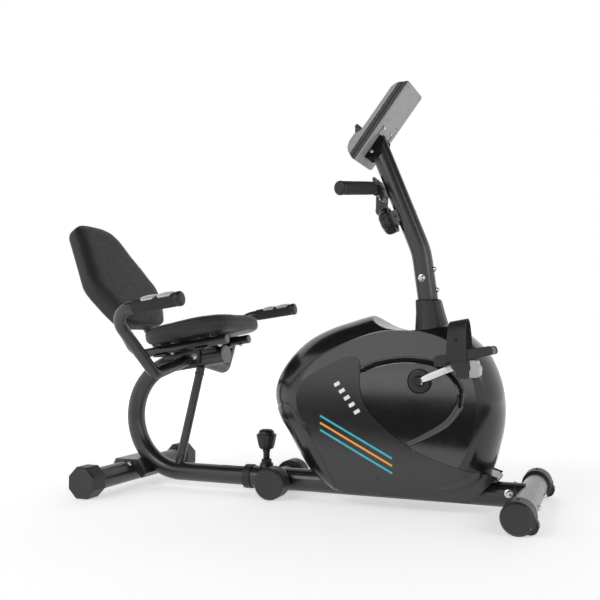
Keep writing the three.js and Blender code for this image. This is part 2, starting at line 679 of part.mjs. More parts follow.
// ---------------------------------------------------------------- post, handlebar, console
const POST_CORNERS = [[379, 0, 471.5], [358.5, 0, 642, 200], [245, 0, 937]];
const UPPER_DIR = new THREE.Vector3(245 - 358.5, 0, 937 - 642).normalize();
const RIDER_DIR = new THREE.Vector3(-UPPER_DIR.z, 0, UPPER_DIR.x); // out of the post's rider side
const postTube = (radius) => tube(POST_CORNERS, radius, 20, 6);

const CONSOLE_BACK_LOW = new THREE.Vector3(207, 0, 883);
const CONSOLE_BACK_HIGH = new THREE.Vector3(352, 0, 1067);
const CONSOLE_UP = CONSOLE_BACK_HIGH.clone().sub(CONSOLE_BACK_LOW).normalize();
const CONSOLE_OUT = new THREE.Vector3(-CONSOLE_UP.z, 0, CONSOLE_UP.x); // towards the rider
const CONSOLE_LENGTH = CONSOLE_BACK_HIGH.distanceTo(CONSOLE_BACK_LOW);
const CONSOLE_HALF = 67;

// Places a plate drawn as [along the console's back, out towards the rider].
function consolePlate(outline, y0, y1) {
  const placed = outline.map(([u, w]) => {
    const p = CONSOLE_BACK_LOW.clone().addScaledVector(CONSOLE_UP, u).addScaledVector(CONSOLE_OUT, w);
    return [p.x, p.z];
  });
  return plateXZ(placed, y0, y1);
}

// The post with the folded plate welded on its top, which the console screws to.
function uprightPost() {
  const plate = consolePlate([[22, -3.3], [104, -3.3], [104, -GAP], [22, -GAP]], -30, 30);
  const cheeks = [-26, 23].map((y) => consolePlate([[24, -3], [92, -3], [70, -34], [38, -34]], y, y + 3));
  const neck = bar([246, 0, 934.4], [238, 0, 955], 21, 20);
  const consoleSpace = consolePlate([[-60, -GAP], [200, -GAP], [200, 60], [-60, 60]], -60, 60);
  return cut(join(postTube(POST_R), plate, ...cheeks, neck), consoleSpace);
}

function postCover() {
  const across = new THREE.Vector3(0, 1, 0);
  const fore = new THREE.Vector3(1, 0, 0);
  const sections = [];
  // Each row is [x, z, half length, half width].
  const rows = [
    [383, 428, 42, 42], [383, 450, 41, 38], [379, 486, 35, 33], [375, 515, 32, 30], [374, 519, 30, 28]];
  for (const [x, z, halfX, halfY] of rows) {
    sections.push(roundedSection(new THREE.Vector3(x, 0, z), fore, across, halfX, halfY, 3, 20));
  }
  const bore = tube([[386, 0, 410], [371, 0, 534]], POST_R + 0.7, 20);
  return cut(loft(sections), bore);
}

const KNOB_BASE = new THREE.Vector3(306, 0, 740);

function tensionHousing() {
  const block = box(-17, 17, -20, 20, 0, 25);
  const placed = aim(block, RIDER_DIR.toArray(), KNOB_BASE.toArray());
  return cut(placed, postTube(POST_R + GAP));
}

function tensionKnob() {
  const lobes = new THREE.Shape();
  const count = 32;
  for (let i = 0; i < count; i += 1) {
    const a = (2 * Math.PI * i) / count;
    const r = 33 + 1.6 * Math.cos(8 * a);
    const p = [r * Math.cos(a), r * Math.sin(a)];
    if (i === 0) {
      lobes.moveTo(...p);
    } else {
      lobes.lineTo(...p);
    }
  }
  const bevel = 4;
  const body = new THREE.ExtrudeGeometry(lobes, {
    depth: 20,
    bevelEnabled: true,
    bevelThickness: bevel,
    bevelSize: bevel,
    bevelOffset: -bevel,
    bevelSegments: 1,
  });
  const place = KNOB_BASE.clone().addScaledVector(RIDER_DIR, 25 + GAP + bevel);
  return aim(body, RIDER_DIR.toArray(), place.toArray());
}

const BAR_Z = 811;
const BAR_X = 246;
const BAR_END = [201, 175, 789];
const BAR_STRAIGHT = 35; // half width of the level middle

function frontHandlebar() {
  const [x, y, z] = BAR_END;
  const bends = [-BAR_STRAIGHT, BAR_STRAIGHT].map((bendY) => [BAR_X, bendY, BAR_Z, 45]);
  return tube([[x, -y, z], ...bends, [x, y, z]], 12.5, 16, 10);
}

function frontGrip(side) {
  const end = new THREE.Vector3(BAR_END[0], side * BAR_END[1], BAR_END[2]);
  const root = new THREE.Vector3(BAR_X, side * BAR_STRAIGHT, BAR_Z);
  const inward = root.clone().sub(end).normalize();
  const outer = end.clone().addScaledVector(inward, -3);
  const inner = end.clone().addScaledVector(inward, 118);
  const bore0 = end.clone().addScaledVector(inward, -0.4);
  const bore1 = end.clone().addScaledVector(inward, 125);
  const bore = bar(bore0.toArray(), bore1.toArray(), 12.9, 16);
  return cut(bar(outer.toArray(), inner.toArray(), 16, 20), bore);
}

// Half-round strap that holds the handlebar against the post, with a flange above and below.
function barClamp() {
  const place = [BAR_X, 0, BAR_Z];
  const wrap = barY(-20, 20, BAR_X, BAR_Z, 16.5, 24);
  const flange = aim(box(-33, 33, -20, 20, -7, -2), RIDER_DIR.toArray(), place);
  const saddle = aim(box(-20, 20, -20, 20, -14, -2), RIDER_DIR.toArray(), place);
  return cut(join(wrap, flange, saddle), postTube(POST_R + GAP), barY(-60, 60, BAR_X, BAR_Z, 12.8, 20));
}

function consoleBody() {
  const top = CONSOLE_LENGTH;
  const shell = [[0, 0], [top, 0], [top - 2, 9], [top - 14, 26], [top - 34, 35], [75, 36]];
  const foot = [[64, 36], [44, 44], [20, 42], [4, 27], [-3, 10]];
  const body = consolePlate([...shell, ...foot], -CONSOLE_HALF, CONSOLE_HALF);
  const ledge = consolePlate([[52, 34], [68, 36], [78, 58], [70, 60], [44, 43]], -56, 56);
  const screenPocket = consolePlate([[104, 33], [190, 33], [190, 50], [104, 50]], -44, 44);
  const wells = [];
  for (const y of [-38, 0, 38]) {
    wells.push(consolePlate([[82, 31], [96, 31], [96, 50], [82, 50]], y - 12, y + 12));
  }
  return cut(join(body, ledge), screenPocket, ...wells);
}

function consoleScreen() {
  const [low, high, bottom] = [104 + GAP, 190 - GAP, 33 + GAP];
  return consolePlate([[low, bottom], [high, bottom], [high, 35.6], [low, 35.6]], -44 + GAP, 44 - GAP);
}

function consoleButton(y) {
  const play = 0.6;
  const [low, high] = [82 + play, 96 - play];
  return consolePlate([[low, 33], [high, 33], [high, 38.5], [low, 38.5]], y - 12 + play, y + 12 - play);
}

// ---------------------------------------------------------------- rear frame
const upperZ = (x) => {
  const a = deg(90 + UPPER_RISE);
  const exitX = BEND_CENTRE[0] + BEND_R * Math.cos(a);
  const exitZ = BEND_CENTRE[1] + BEND_R * Math.sin(a);
  return exitZ + (x - exitX) * Math.tan(deg(UPPER_RISE));
};

// One tube bent like a C: along the floor, round the back, and forward under the seat.
function rearTubeBar(radius) {
  const [cx, cz] = BEND_CENTRE;
  const stations = [new THREE.Vector3(REAR_TUBE_FRONT_X, 0, cz - BEND_R)];
  const steps = 15;
  for (let i = 0; i <= steps; i += 1) {
    const a = deg(270 - ((180 - UPPER_RISE) * i) / steps);
    stations.push(new THREE.Vector3(cx + BEND_R * Math.cos(a), 0, cz + BEND_R * Math.sin(a)));
  }
  stations.push(new THREE.Vector3(UPPER_END_X, 0, upperZ(UPPER_END_X)));
  return sweep(roundShape(radius, 20), stations);
}

const rearTubeSpace = () => rearTubeBar(REAR_TUBE_R + GAP);

// The sliding tube with the slot that the lock pin rides in.
function rearMainTube() {
  const slot = box(-225, 8, -5.6, 5.6, PIN_TIP_Z - 2, BASE_Z + REAR_TUBE_R + 10);
  return cut(rearTubeBar(REAR_TUBE_R), slot);
}

const UPPER_AXIS = [Math.cos(deg(UPPER_RISE)), 0, Math.sin(deg(UPPER_RISE))];
function frameEndCap() {
  const rim = REAR_TUBE_R + 0.5;
  const cap = turned([[0, 0], [rim, 0], [rim, 3], [rim - 3.5, 6], [0, 6.5]], 28);
  const x = UPPER_END_X + GAP;
  return aim(cap, UPPER_AXIS, [x, 0, upperZ(x)]);
}

function frameStrut() {
  const whole = bar([-372, 0, 52], [-292, 0, 356], 12.5, 20);
  return cut(whole, rearTubeSpace());
}

// Seat rails: straight under the seat, then bent up behind the backrest.
const railZ = (x) => 424 + (x + 173) * Math.tan(deg(UPPER_RISE));
const BACK_DIR = [-Math.sin(deg(BACK_RECLINE)), 0, Math.cos(deg(BACK_RECLINE))];
const RAIL_CORNER_X = -474;

function seatRail(side, radius = RAIL_R) {
  const y = side * RAIL_Y;
  const top = 300;
  const cz = railZ(RAIL_CORNER_X);
  return tube([[-173, y, railZ(-173)], [RAIL_CORNER_X, y, cz, 60],
    [RAIL_CORNER_X + BACK_DIR[0] * top, y, cz + BACK_DIR[2] * top]], radius, 14, 15);
}

// Height of the seat cushion's flat underside.
const CUSHION_X = -283;
const CUSHION_TILT = UPPER_RISE + 2; // degrees
const cushionZ = (x) => {
  const middle = railZ(CUSHION_X) + RAIL_R + 8;
  return middle + (x - CUSHION_X) * Math.tan(deg(CUSHION_TILT));
};

// A plate between two lines given as functions of x.
function plateBetween(x0, x1, low, high, y0, y1) {
  return plateXZ([[x0, low(x0)], [x1, low(x1)], [x1, high(x1)], [x0, high(x0)]], y0, y1);
}

// Welded carrier: a saddle over the C tube's end, a cross plate under the rails at each end, and
// risers that the seat cushion is screwed to.
function seatCarrier() {
  const saddle = plateBetween(-366, -282, (x) => upperZ(x) - 16, (x) => upperZ(x) + 33, -31, 31);
  const spine = plateBetween(-404, -232, (x) => upperZ(x) + 10, (x) => upperZ(x) + 29.5, -24, 24);
  const pieces = [saddle, spine];
  const underRail = (x) => railZ(x) - RAIL_R - GAP;
  const plateLow = (x) => railZ(x) - 17;
  for (const [x0, x1] of [[-404, -364], [-272, -232]]) {
    pieces.push(plateBetween(x0, x1, plateLow, underRail, -RAIL_Y - 14, RAIL_Y + 14));
    for (const y of [-50, 44]) {
      pieces.push(plateBetween(x0 + 5, x1 - 5, plateLow, (x) => cushionZ(x) - GAP, y, y + 6));
    }
  }
  return cut(join(...pieces), rearTubeSpace());
}

// Half of the seat handlebar: from the carrier's side, out and down, up the side, and forward to the grip.
const handleCorners = (side) => [
  [-326, side * 27, 363], [-322, side * 191, 330, 40],
  [-356, side * GRIP_Y, 494, 62], [-152, side * GRIP_Y, 520]];

function seatHandlebar(side) {
  const carrierSpace = box(-400, -250, -31 - GAP, 31 + GAP, 300, 420);
  return cut(tube(handleCorners(side), 15.5, 14, 15), carrierSpace);
}

function seatGrip(side) {
  const corners = handleCorners(side);
  const end = new THREE.Vector3(...corners[3].slice(0, 3));
  const root = new THREE.Vector3(...corners[2].slice(0, 3));
  const back = root.clone().sub(end).normalize();
  const outer = end.clone().addScaledVector(back, -8);
  const inner = end.clone().addScaledVector(back, 132);
  const bore0 = end.clone().addScaledVector(back, -0.4);
  const bore1 = end.clone().addScaledVector(back, 140);
  const bore = bar(bore0.toArray(), bore1.toArray(), 15.9, 16);
  return cut(bar(outer.toArray(), inner.toArray(), 18, 20), bore);
}

// The seat: a rounded rectangle in plan, as a plain closed solid.
function seatCushion() {
  const halfDepth = SEAT_DEPTH / 2;
  const sections = [];
  for (const [h, inset] of [[0, 8], [6, 1], [SEAT_THICK - 12, 0], [SEAT_THICK - 4, 6], [SEAT_THICK, 22]]) {
    const centre = new THREE.Vector3(0, 0, h);
    const length = new THREE.Vector3(1, 0, 0);
    const width = new THREE.Vector3(0, 1, 0);
    const halves = [halfDepth - inset, SEAT_HALF_WIDTH - inset];
    sections.push(roundedSection(centre, length, width, ...halves, SEAT_CORNERS, 32));
  }
  return loft(sections).rotateY(-deg(CUSHION_TILT)).translate(CUSHION_X, 0, cushionZ(CUSHION_X));
}

// The backrest: a plain closed solid with a groove in its back for each rail.
function backrestCushion() {
  // Half outline as [half width, height along the backrest].
  const lower = [[0, 0], [62, 1], [92, 8], [114, 32], [141, 82], [155, 118], [157, 140]];
  const upper = [[148, 170], [122, 248], [103, 306], [94, 332], [78, 351], [50, 362], [0, 366]];
  const half = [...lower, ...upper];
  const points = half.map(([y, h]) => new THREE.Vector3(y, h, 0));
  const mirrored = half.slice(1, -1).reverse().map(([y, h]) => new THREE.Vector3(-y, h, 0));
  const curve = new THREE.CatmullRomCurve3([...points, ...mirrored], true, 'centripetal');
  const count = 36;
  const flat = [];
  for (let i = 0; i < count; i += 1) {
    flat.push(curve.getPoint(i / count));
  }
  const middle = new THREE.Vector3(0, 175, 0);
  const rows = [[-3, 0.95], [3, 1], [BACK_THICK - 14, 1], [BACK_THICK - 5, 0.955], [BACK_THICK, 0.86]];
  const sections = rows.map(([w, scale]) => flat.map((p) => {
    const q = p.clone().sub(middle).multiplyScalar(scale).add(middle);
    return new THREE.Vector3(w, q.x, q.y);
  }));
  const pad = loft(sections).rotateY(-deg(BACK_RECLINE)).translate(-515, 0, 452);
  return cut(pad, seatRail(-1, RAIL_R + 0.6), seatRail(1, RAIL_R + 0.6));
}

// Folded plate that joins the C tube to the rear foot.
function rearSaddle() {
  const outside = [[-556, 58], [-546, 78], [-470, 78], [-440, 40], [-455, 26]];
  const inside = [[-480, 50], [-490, 68], [-532, 68], [-545, 52]];
  const footSpace = footTube(REAR_FOOT_X, BASE_Z, REAR_FOOT_HALF, BASE_R + GAP);
  return cut(plateXZ([...outside, ...inside], -62, 62), rearTubeSpace(), footSpace);
}

function rearCap(side) {
  const flats = REAR_CAP_FLATS / 2;
  const corner = flats / Math.cos(deg(22.5));
  const octagon = (scale, y) => [0, 1, 2, 3, 4, 5, 6, 7].map((i) => {
    const a = deg(22.5 + 45 * i);
    const r = scale * corner;
    return new THREE.Vector3(REAR_FOOT_X + r * Math.cos(a), y, flats + r * Math.sin(a));
  });
  const face = side * REAR_FOOT_HALF;
  const rows = [[0.93, 0], [1, 5], [1, 50], [0.86, 58]];
  const body = loft(rows.map(([scale, inward]) => octagon(scale, face - side * inward)));
  const [y0, y1] = inFromFace(side, face, 10, 70);
  return cut(body, barY(y0, y1, REAR_FOOT_X, BASE_Z, BASE_R + GAP, 24));
}

// ---------------------------------------------------------------- build
add('front_base_tube', frontBaseTube(), FRAME_BLACK());
add('sleeve_collar', sleeveCollar(), PLASTIC_BLACK());
add('adjuster_knob', adjusterKnob(), PLASTIC_BLACK());
add('front_foot_tube', footTube(SADDLE_FRONT_X, FRONT_CAP_R, FRONT_FOOT_HALF - 40, BASE_R), FRAME_BLACK());
add('rear_foot_tube', footTube(REAR_FOOT_X, BASE_Z, REAR_FOOT_HALF - 11, BASE_R), FRAME_BLACK());
add('upright_stub', uprightStub(), FRAME_BLACK());
add('crank_axle', crankAxle(), STEEL());
add('crank_pulley', crankPulley(), PLASTIC_GREY());
add('drive_belt', driveBelt(), RUBBER());
add('flywheel', flywheel(), IRON());
add('flywheel_axle', flywheelAxle(), STEEL());
add('idler_arm', idlerArm(), STEEL());
add('idler_roller', idlerRoller(), PLASTIC_BLACK());
add('magnet_bracket', magnetBracket(), STEEL());
add('upright_post', uprightPost(), FRAME_BLACK());
add('post_cover', postCover(), PLASTIC_BLACK());
add('tension_housing', tensionHousing(), PLASTIC_GREY());
add('tension_knob', tensionKnob(), PLASTIC_BLACK());
add('front_handlebar', frontHandlebar(), FRAME_BLACK());
add('bar_clamp', barClamp(), FRAME_BLACK());
add('console_body', consoleBody(), PLASTIC_GREY());
add('console_screen', consoleScreen(), SCREEN_GREY());
add('rear_main_tube', rearMainTube(), FRAME_BLACK());
add('frame_end_cap', frameEndCap(), PLASTIC_GREY());
add('frame_strut', frameStrut(), FRAME_BLACK());
add('seat_carrier', seatCarrier(), FRAME_BLACK());
add('rear_saddle', rearSaddle(), FRAME_BLACK());
add('seat_cushion', seatCushion(), VINYL_BLACK());
add('backrest_cushion', backrestCushion(), VINYL_BLACK());
[-38, 0, 38].forEach((y, i) => add(`console_button_${i + 1}`, consoleButton(y), PLASTIC_BLACK()));
for (const [hand, side] of SIDES) {
  add(`front_cap_${hand}`, frontCap(side), PLASTIC_BLACK());
  add(`transport_roller_${hand}`, transportRoller(side), RUBBER());
  add(`middle_cap_${hand}`, middleCap(side), PLASTIC_BLACK());
  add(`rear_cap_${hand}`, rearCap(side), PLASTIC_BLACK());
  add(`crank_bearing_${hand}`, crankBearing(side), STEEL());
  add(`flywheel_bracket_${hand}`, flywheelBracket(side), FRAME_BLACK());
  add(`housing_${hand}`, housingShell(side), SHELL_BLACK());
  add(`front_grip_${hand}`, frontGrip(side), FOAM_BLACK());
  add(`seat_rail_${hand}`, seatRail(side), FRAME_BLACK());
  add(`seat_handlebar_${hand}`, seatHandlebar(side), FRAME_BLACK());
  add(`seat_grip_${hand}`, seatGrip(side), FOAM_BLACK());
}

// The left crank set is the right set mirrored, with its arm half a turn round the axle.
for (const [hand, side] of SIDES) {
  const pieces = [['crank_arm', crankArm(), CHROME()], ['pedal', pedal(), PLASTIC_BLACK()],
    ['pedal_strap', pedalStrap(), RUBBER()]];
  for (const [name, geometry, material] of pieces) {
    if (side > 0) {
      const isArm = name === 'crank_arm';
      geometry.scale(1, -1, 1);
      const index = geometry.index.array;
      for (let i = 0; i < index.length; i += 3) {
        [index[i + 1], index[i + 2]] = [index[i + 2], index[i + 1]];
      }
      if (isArm) {
        geometry.translate(-CRANK.x, 0, -CRANK.z);
        geometry.rotateY(Math.PI);
        geometry.translate(CRANK.x, 0, CRANK.z);
      } else {
        geometry.translate(2 * (CRANK.x - PEDAL_X), 0, 2 * (CRANK.z - PEDAL_Z));
      }
    }
    add(`${name}_${hand}`, geometry, material);
  }
}

export default bike;
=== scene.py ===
"""Looks of the recumbent exercise bike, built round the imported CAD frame.

Lengths are millimetres in the bike's own side view, and place() turns them into metres in
the shared frame. +X points to the flywheel and +Y to the rider's left. The stage is in metres.
"""
import math

import bmesh
import bpy
import numpy as np
from mathutils import Matrix, Vector
from mathutils.bvhtree import BVHTree
from mathutils.kdtree import KDTree


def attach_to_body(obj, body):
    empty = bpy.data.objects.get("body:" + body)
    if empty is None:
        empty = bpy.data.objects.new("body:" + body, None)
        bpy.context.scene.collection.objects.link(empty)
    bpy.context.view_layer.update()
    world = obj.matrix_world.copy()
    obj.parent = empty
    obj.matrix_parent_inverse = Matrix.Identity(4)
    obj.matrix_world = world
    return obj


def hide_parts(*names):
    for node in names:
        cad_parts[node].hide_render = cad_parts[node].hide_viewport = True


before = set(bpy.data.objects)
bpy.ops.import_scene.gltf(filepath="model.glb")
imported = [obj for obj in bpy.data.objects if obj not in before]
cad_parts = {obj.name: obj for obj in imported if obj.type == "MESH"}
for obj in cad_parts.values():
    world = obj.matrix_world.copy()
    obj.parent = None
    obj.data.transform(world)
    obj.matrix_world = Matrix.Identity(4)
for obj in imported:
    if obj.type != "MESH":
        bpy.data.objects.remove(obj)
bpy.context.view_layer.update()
SHIFT_X = 31.0
FRONT, REAR = "front_frame", "rear_frame"
SIDES = (("right", -1), ("left", 1))


def place(x, y, z):
    return Vector(((x + SHIFT_X) / 1000, y / 1000, z / 1000))


def deg(a):
    return math.radians(a)


class Nodes:
    """A small builder for one procedural material; its slot argument is not used."""

    def __init__(self, name, slot=None):
        self.material = bpy.data.materials.new(name)
        self.material.use_nodes = True
        self.tree = self.material.node_tree
        self.coords = self.node("ShaderNodeTexCoord", "Object", {})

    def feed(self, socket, value):
        """A socket takes a value, or a link from another node's output."""
        if isinstance(value, bpy.types.NodeSocket):
            self.tree.links.new(value, socket)
        else:
            socket.default_value = value

    def node(self, kind, output, sockets, **settings):
        node = self.tree.nodes.new(kind)
        for key, value in settings.items():
            setattr(node, key, value)
        for key, value in sockets.items():
            self.feed(node.inputs[key], value)
        return node.outputs[output]

    def noise(self, scale, detail=4.0, rough=0.55):
        return self.node("ShaderNodeTexNoise", "Fac",
                         {"Vector": self.coords, "Scale": scale, "Detail": detail, "Roughness": rough})

    def cells(self, scale):
        return self.node("ShaderNodeTexVoronoi", "Distance", {"Vector": self.coords, "Scale": scale})

    def axis(self, letter):
        return self.node("ShaderNodeSeparateXYZ", letter, {"Vector": self.coords})

    def ramp(self, factor, stops):
        node = self.tree.nodes.new("ShaderNodeValToRGB")
        elements = node.color_ramp.elements
        while len(elements) < len(stops):
            elements.new(0.5)
        for element, (position, color) in zip(elements, stops):
            element.position = position
            element.color = (*color, 1.0)
        self.feed(node.inputs["Fac"], factor)
        return node.outputs["Color"]

    def span(self, factor, low, high, start=0.3, end=0.7):
        return self.node("ShaderNodeMapRange", "Result", {"Value": factor, "From Min": start, "From Max": end,
                                                          "To Min": low, "To Max": high})

    def mix(self, factor, a, b):
        return self.node("ShaderNodeMix", 2, {"Factor": factor, 6: a, 7: b}, data_type="RGBA")

    def bump(self, height, strength, distance, after=None):
        sockets = {"Height": height, "Strength": strength, "Distance": distance}
        if after:
            sockets["Normal"] = after
        return self.node("ShaderNodeBump", "Normal", sockets)

    def mottle(self, scale, detail, low, high):
        return self.ramp(self.noise(scale, detail), [(0.3, low), (0.7, high)])

    def uneven(self, scale, detail, low, high):
        return self.span(self.noise(scale, detail), low, high)

    def finish(self, color, roughness, normal=None, **values):
        sockets = {"Base Color": color, "Roughness": roughness, **values}
        if normal:
            sockets["Normal"] = normal
        for key, value in sockets.items():
            self.feed(self.tree.nodes["Principled BSDF"].inputs[key.replace("_", " ")], value)
        return self.material


def tint(color, factor):
    return tuple(min(1.0, c * factor) for c in color)


def surface(name, slot, color, rough, grain, grain_depth, vary=0.22, metal=0.0, **values):
    """Moulded plastic, powder coat or plated metal: mottled tone, uneven gloss and a fine grain."""
    n = Nodes(name, slot)
    tone = n.ramp(n.noise(9.0, 5.0),
                  [(0.3, tint(color, 1 - vary)), (0.5, color), (0.72, tint(color, 1 + vary))])
    gloss = n.uneven(60.0, 6.0, rough - 0.03, rough + 0.04)
    return n.finish(tone, gloss, n.bump(n.noise(grain, 3.0), 0.35, grain_depth), Metallic=metal, **values)


def shell_material(name, base, lit, gloss, level):
    """Glossy charcoal moulding with painted light: a touch lighter towards its top, as if lit from above."""
    n = Nodes(name, "shell_plastic")
    # Painted light: the tone runs from a darker bottom up to the lit colour at the top.
    height = n.span(n.axis("Z"), 0.0, 1.0, 0.05, 0.46)
    tone = n.ramp(height, [(0.0, tint(base, 0.9)), (0.45, base), (0.75, lit), (1.0, lit)])
    cloud = n.mottle(14.0, 5.0, tint(lit, 0.9), tint(lit, 1.1))
    mixed = n.mix(n.uneven(40.0, 4.0, 0.0, 0.12), tone, cloud)
    rough = n.uneven(70.0, 5.0, gloss - 0.01, gloss + 0.02)
    return n.finish(mixed, rough, n.bump(n.noise(1200, 2.0), 0.05, 0.00002), Specular_IOR_Level=level)


def vinyl():
    """Upholstery vinyl: pebbled leather grain with soft creases."""
    n = Nodes("black_vinyl", "vinyl")
    cells = n.cells(420.0)
    pebble = n.bump(cells, 0.22, 0.00012)
    crease = n.bump(n.noise(14.0, 3.0, 0.5), 0.05, 0.0010, pebble)
    tone = n.mottle(9.0, 4.0, (0.022, 0.022, 0.0225), (0.025, 0.025, 0.0255))
    pits = n.ramp(cells, [(0.0, (0.017, 0.017, 0.0175)), (0.5, (0.025, 0.025, 0.0255))])
    mixed = n.mix(n.uneven(5.0, 4.0, 0.3, 0.6), tone, pits)
    return n.finish(mixed, n.uneven(90.0, 4.0, 0.46, 0.62), crease, Specular_IOR_Level=0.42)


def foam():
    """Closed-cell foam sleeve: open pores and a dull skin."""
    n = Nodes("grip_foam", "foam")
    pores = n.cells(700.0)
    lumps = n.bump(n.noise(140.0), 0.3, 0.0006, n.bump(pores, 0.6, 0.0004))
    tone = n.ramp(pores, [(0.0, (0.006, 0.006, 0.006)), (0.35, (0.019, 0.019, 0.0195))])
    return n.finish(tone, n.uneven(200.0, 4.0, 0.72, 0.9), lumps)


def console_material(name, slot, color):
    n = Nodes(name, slot)
    tone = n.mottle(7.0, 3.0, tint(color, 0.96), tint(color, 1.03))
    return n.finish(tone, n.uneven(90.0, 4.0, 0.42, 0.55), n.bump(n.noise(1800, 2.0), 0.06, 0.00003))


def print_ink(name, color):
    n = Nodes(name)
    tone = n.mottle(60.0, 5.0, tint(color, 0.88), tint(color, 1.06))
    return n.finish(tone, n.uneven(150.0, 4.0, 0.34, 0.46), n.bump(n.noise(2500, 2.0), 0.2, 0.00003))


def screen_material():
    """Grey-green display glass over rows of faint bars."""
    n = Nodes("display_window", "screen")
    lines = n.node("ShaderNodeMath", 0, {0: n.axis("Y"), 1: 0.012}, operation="PINGPONG")
    bars = n.span(lines, 0.0, 1.0, 0.0009, 0.0012)
    tone = n.mottle(20.0, 4.0, (0.19, 0.23, 0.20), (0.24, 0.28, 0.25))
    ink = n.mottle(30.0, 4.0, (0.03, 0.035, 0.03), (0.05, 0.055, 0.05))
    return n.finish(n.mix(bars, ink, tone), n.uneven(80.0, 4.0, 0.08, 0.16), Coat_Weight=0.5)


PAINT = surface("powder_coat", "frame_paint", (0.010, 0.0102, 0.0105), 0.30, 900, 0.00008,
                Specular_IOR_Level=0.8)
# Painted light: a lighter, glossier copy of the frame's powder coat for the strongly lit front foot tube.
LIT_FOOT_PAINT = surface("foot_powder_coat_lit", "frame_paint", (0.040, 0.0405, 0.041), 0.24, 900, 0.00006,
                     Specular_IOR_Level=0.9)
TRIM = surface("trim_moulding", "trim_plastic", (0.013, 0.013, 0.0135), 0.44, 1500, 0.00016)
CAP = surface("cap_moulding", "trim_plastic", (0.021, 0.021, 0.0215), 0.48, 1500, 0.00018)
KNOB = surface("knob_moulding", "trim_plastic", (0.009, 0.009, 0.0095), 0.36, 1500, 0.0001)
# Near-black finish; in the gaps, holes and grooves where it goes it is painted shade.
DARK = surface("shadow_gap", "trim_plastic", (0.003, 0.003, 0.003), 0.7, 600, 0.0002,
               Specular_IOR_Level=0.2)
GREY_CAP = surface("grey_end_cap", "grey_plastic", (0.17, 0.17, 0.175), 0.5, 1400, 0.00015)
GREY_BOX = surface("grey_dial_box", "grey_plastic", (0.085, 0.085, 0.088), 0.5, 1400, 0.00015)
PEDAL_WEIGHT = surface("pedal_weight", "grey_plastic", (0.36, 0.36, 0.37), 0.42, 900, 0.0002)
BOLT = surface("zinc_bolt", "steel", (0.72, 0.72, 0.73), 0.28, 800, 0.0001, 0.12, metal=1.0)
STEEL = surface("plated_steel", "steel", (0.55, 0.56, 0.57), 0.33, 500, 0.0001, 0.15, metal=1.0)
ARM_PLATE = surface("crank_plate", "chrome", (0.86, 0.86, 0.87), 0.34, 700, 0.00004, 0.05, metal=0.5)
IRON = surface("flywheel_iron", "iron", (0.12, 0.125, 0.13), 0.45, 300, 0.0003, 0.25, metal=0.8)
WHEEL = surface("roller_plastic", "rubber", (0.012, 0.012, 0.012), 0.55, 900, 0.0002)
STRAP = surface("strap_rubber", "rubber", (0.016, 0.016, 0.0165), 0.55, 900, 0.0002)
# Each moulding's lit colour is painted light on its upper part, strongest on the flat face.
SHELL = shell_material("housing_shell", (0.007, 0.007, 0.0072), (0.010, 0.010, 0.0105), 0.18, 0.7)
WING = shell_material("housing_wing", (0.010, 0.010, 0.0103), (0.016, 0.016, 0.0165), 0.16, 0.8)
FACE = shell_material("housing_face", (0.010, 0.010, 0.0103), (0.024, 0.024, 0.0245), 0.09, 1.0)
VINYL = vinyl()
FOAM = foam()
CONSOLE_LIGHT = console_material("console_light", "grey_plastic", (0.262, 0.262, 0.266))
CONSOLE_DARK = console_material("console_dark", "trim_plastic", (0.022, 0.022, 0.0225))
SCREEN = screen_material()
# The printed stripes belong to no slot of the record.
TEAL = print_ink("print_teal", (0.035, 0.44, 0.56))
ORANGE = print_ink("print_orange", (0.86, 0.36, 0.045))
WHITE = print_ink("print_white", (0.80, 0.80, 0.80))


# ------------------------------------------------------------------ mesh helpers
def add_object(name, data):
    obj = bpy.data.objects.new(name, data)
    bpy.context.scene.collection.objects.link(obj)
    return obj


def edit(mesh, work):
    b = bmesh.new()
    b.from_mesh(mesh)
    work(b)
    b.to_mesh(mesh)
    b.free()


def bake(obj):
    """Turns the modifiers into plain mesh."""
    depsgraph = bpy.context.evaluated_depsgraph_get()
    mesh = bpy.data.meshes.new_from_object(obj.evaluated_get(depsgraph))
    obj.modifiers.clear()
    obj.data = mesh


def rows_of(mesh, what):
    """A vector of every vertex, "co" or "normal", as rows of an array."""
    values = np.empty(len(mesh.vertices) * 3)
    mesh.vertices.foreach_get(what, values)
    return values.reshape(-1, 3)


def attach(obj, body, replaces=()):
    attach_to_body(obj, body)
    if replaces:
        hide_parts(*replaces)


def make(name, verts, faces, material, body=None, replaces=(), smooth=40):
    """A new piece that rides a body. Without one it's a cutter, or is attached later."""
    mesh = bpy.data.meshes.new(name)
    mesh.from_pydata([tuple(v) for v in verts], [], faces)
    mesh.validate()
    obj = add_object(name, mesh)
    edit(mesh, lambda b: bmesh.ops.recalc_face_normals(b, faces=b.faces))
    mesh.materials.append(material)
    shade(obj, smooth)
    if body:
        attach(obj, body, replaces)
    return obj


def shade(obj, angle=40):
    """Smooth shading, with edges sharper than the angle kept crisp."""
    for p in obj.data.polygons:
        p.use_smooth = True

    def mark(b):
        for e in b.edges:
            e.smooth = len(e.link_faces) != 2 or e.calc_face_angle(0) < deg(angle)

    edit(obj.data, mark)


def bevel(obj, width, segments=2, angle=35):
    m = obj.modifiers.new("bevel", "BEVEL")
    m.width = width / 1000
    m.segments = segments
    m.limit_method = "ANGLE"
    m.angle_limit = deg(angle)
    m.harden_normals = False
    obj.modifiers.new("normals", "WEIGHTED_NORMAL").keep_sharp = True
    return obj


def carve(obj, *cutters):
    """Cuts closed pieces out of obj and throws the cutters away."""
    for cutter in cutters:
        m = obj.modifiers.new("carve", "BOOLEAN")
        m.operation = "DIFFERENCE"
        m.solver = "EXACT"
        m.object = cutter
    bake(obj)
    shade(obj, 40)
    for cutter in cutters:
        bpy.data.objects.remove(cutter)


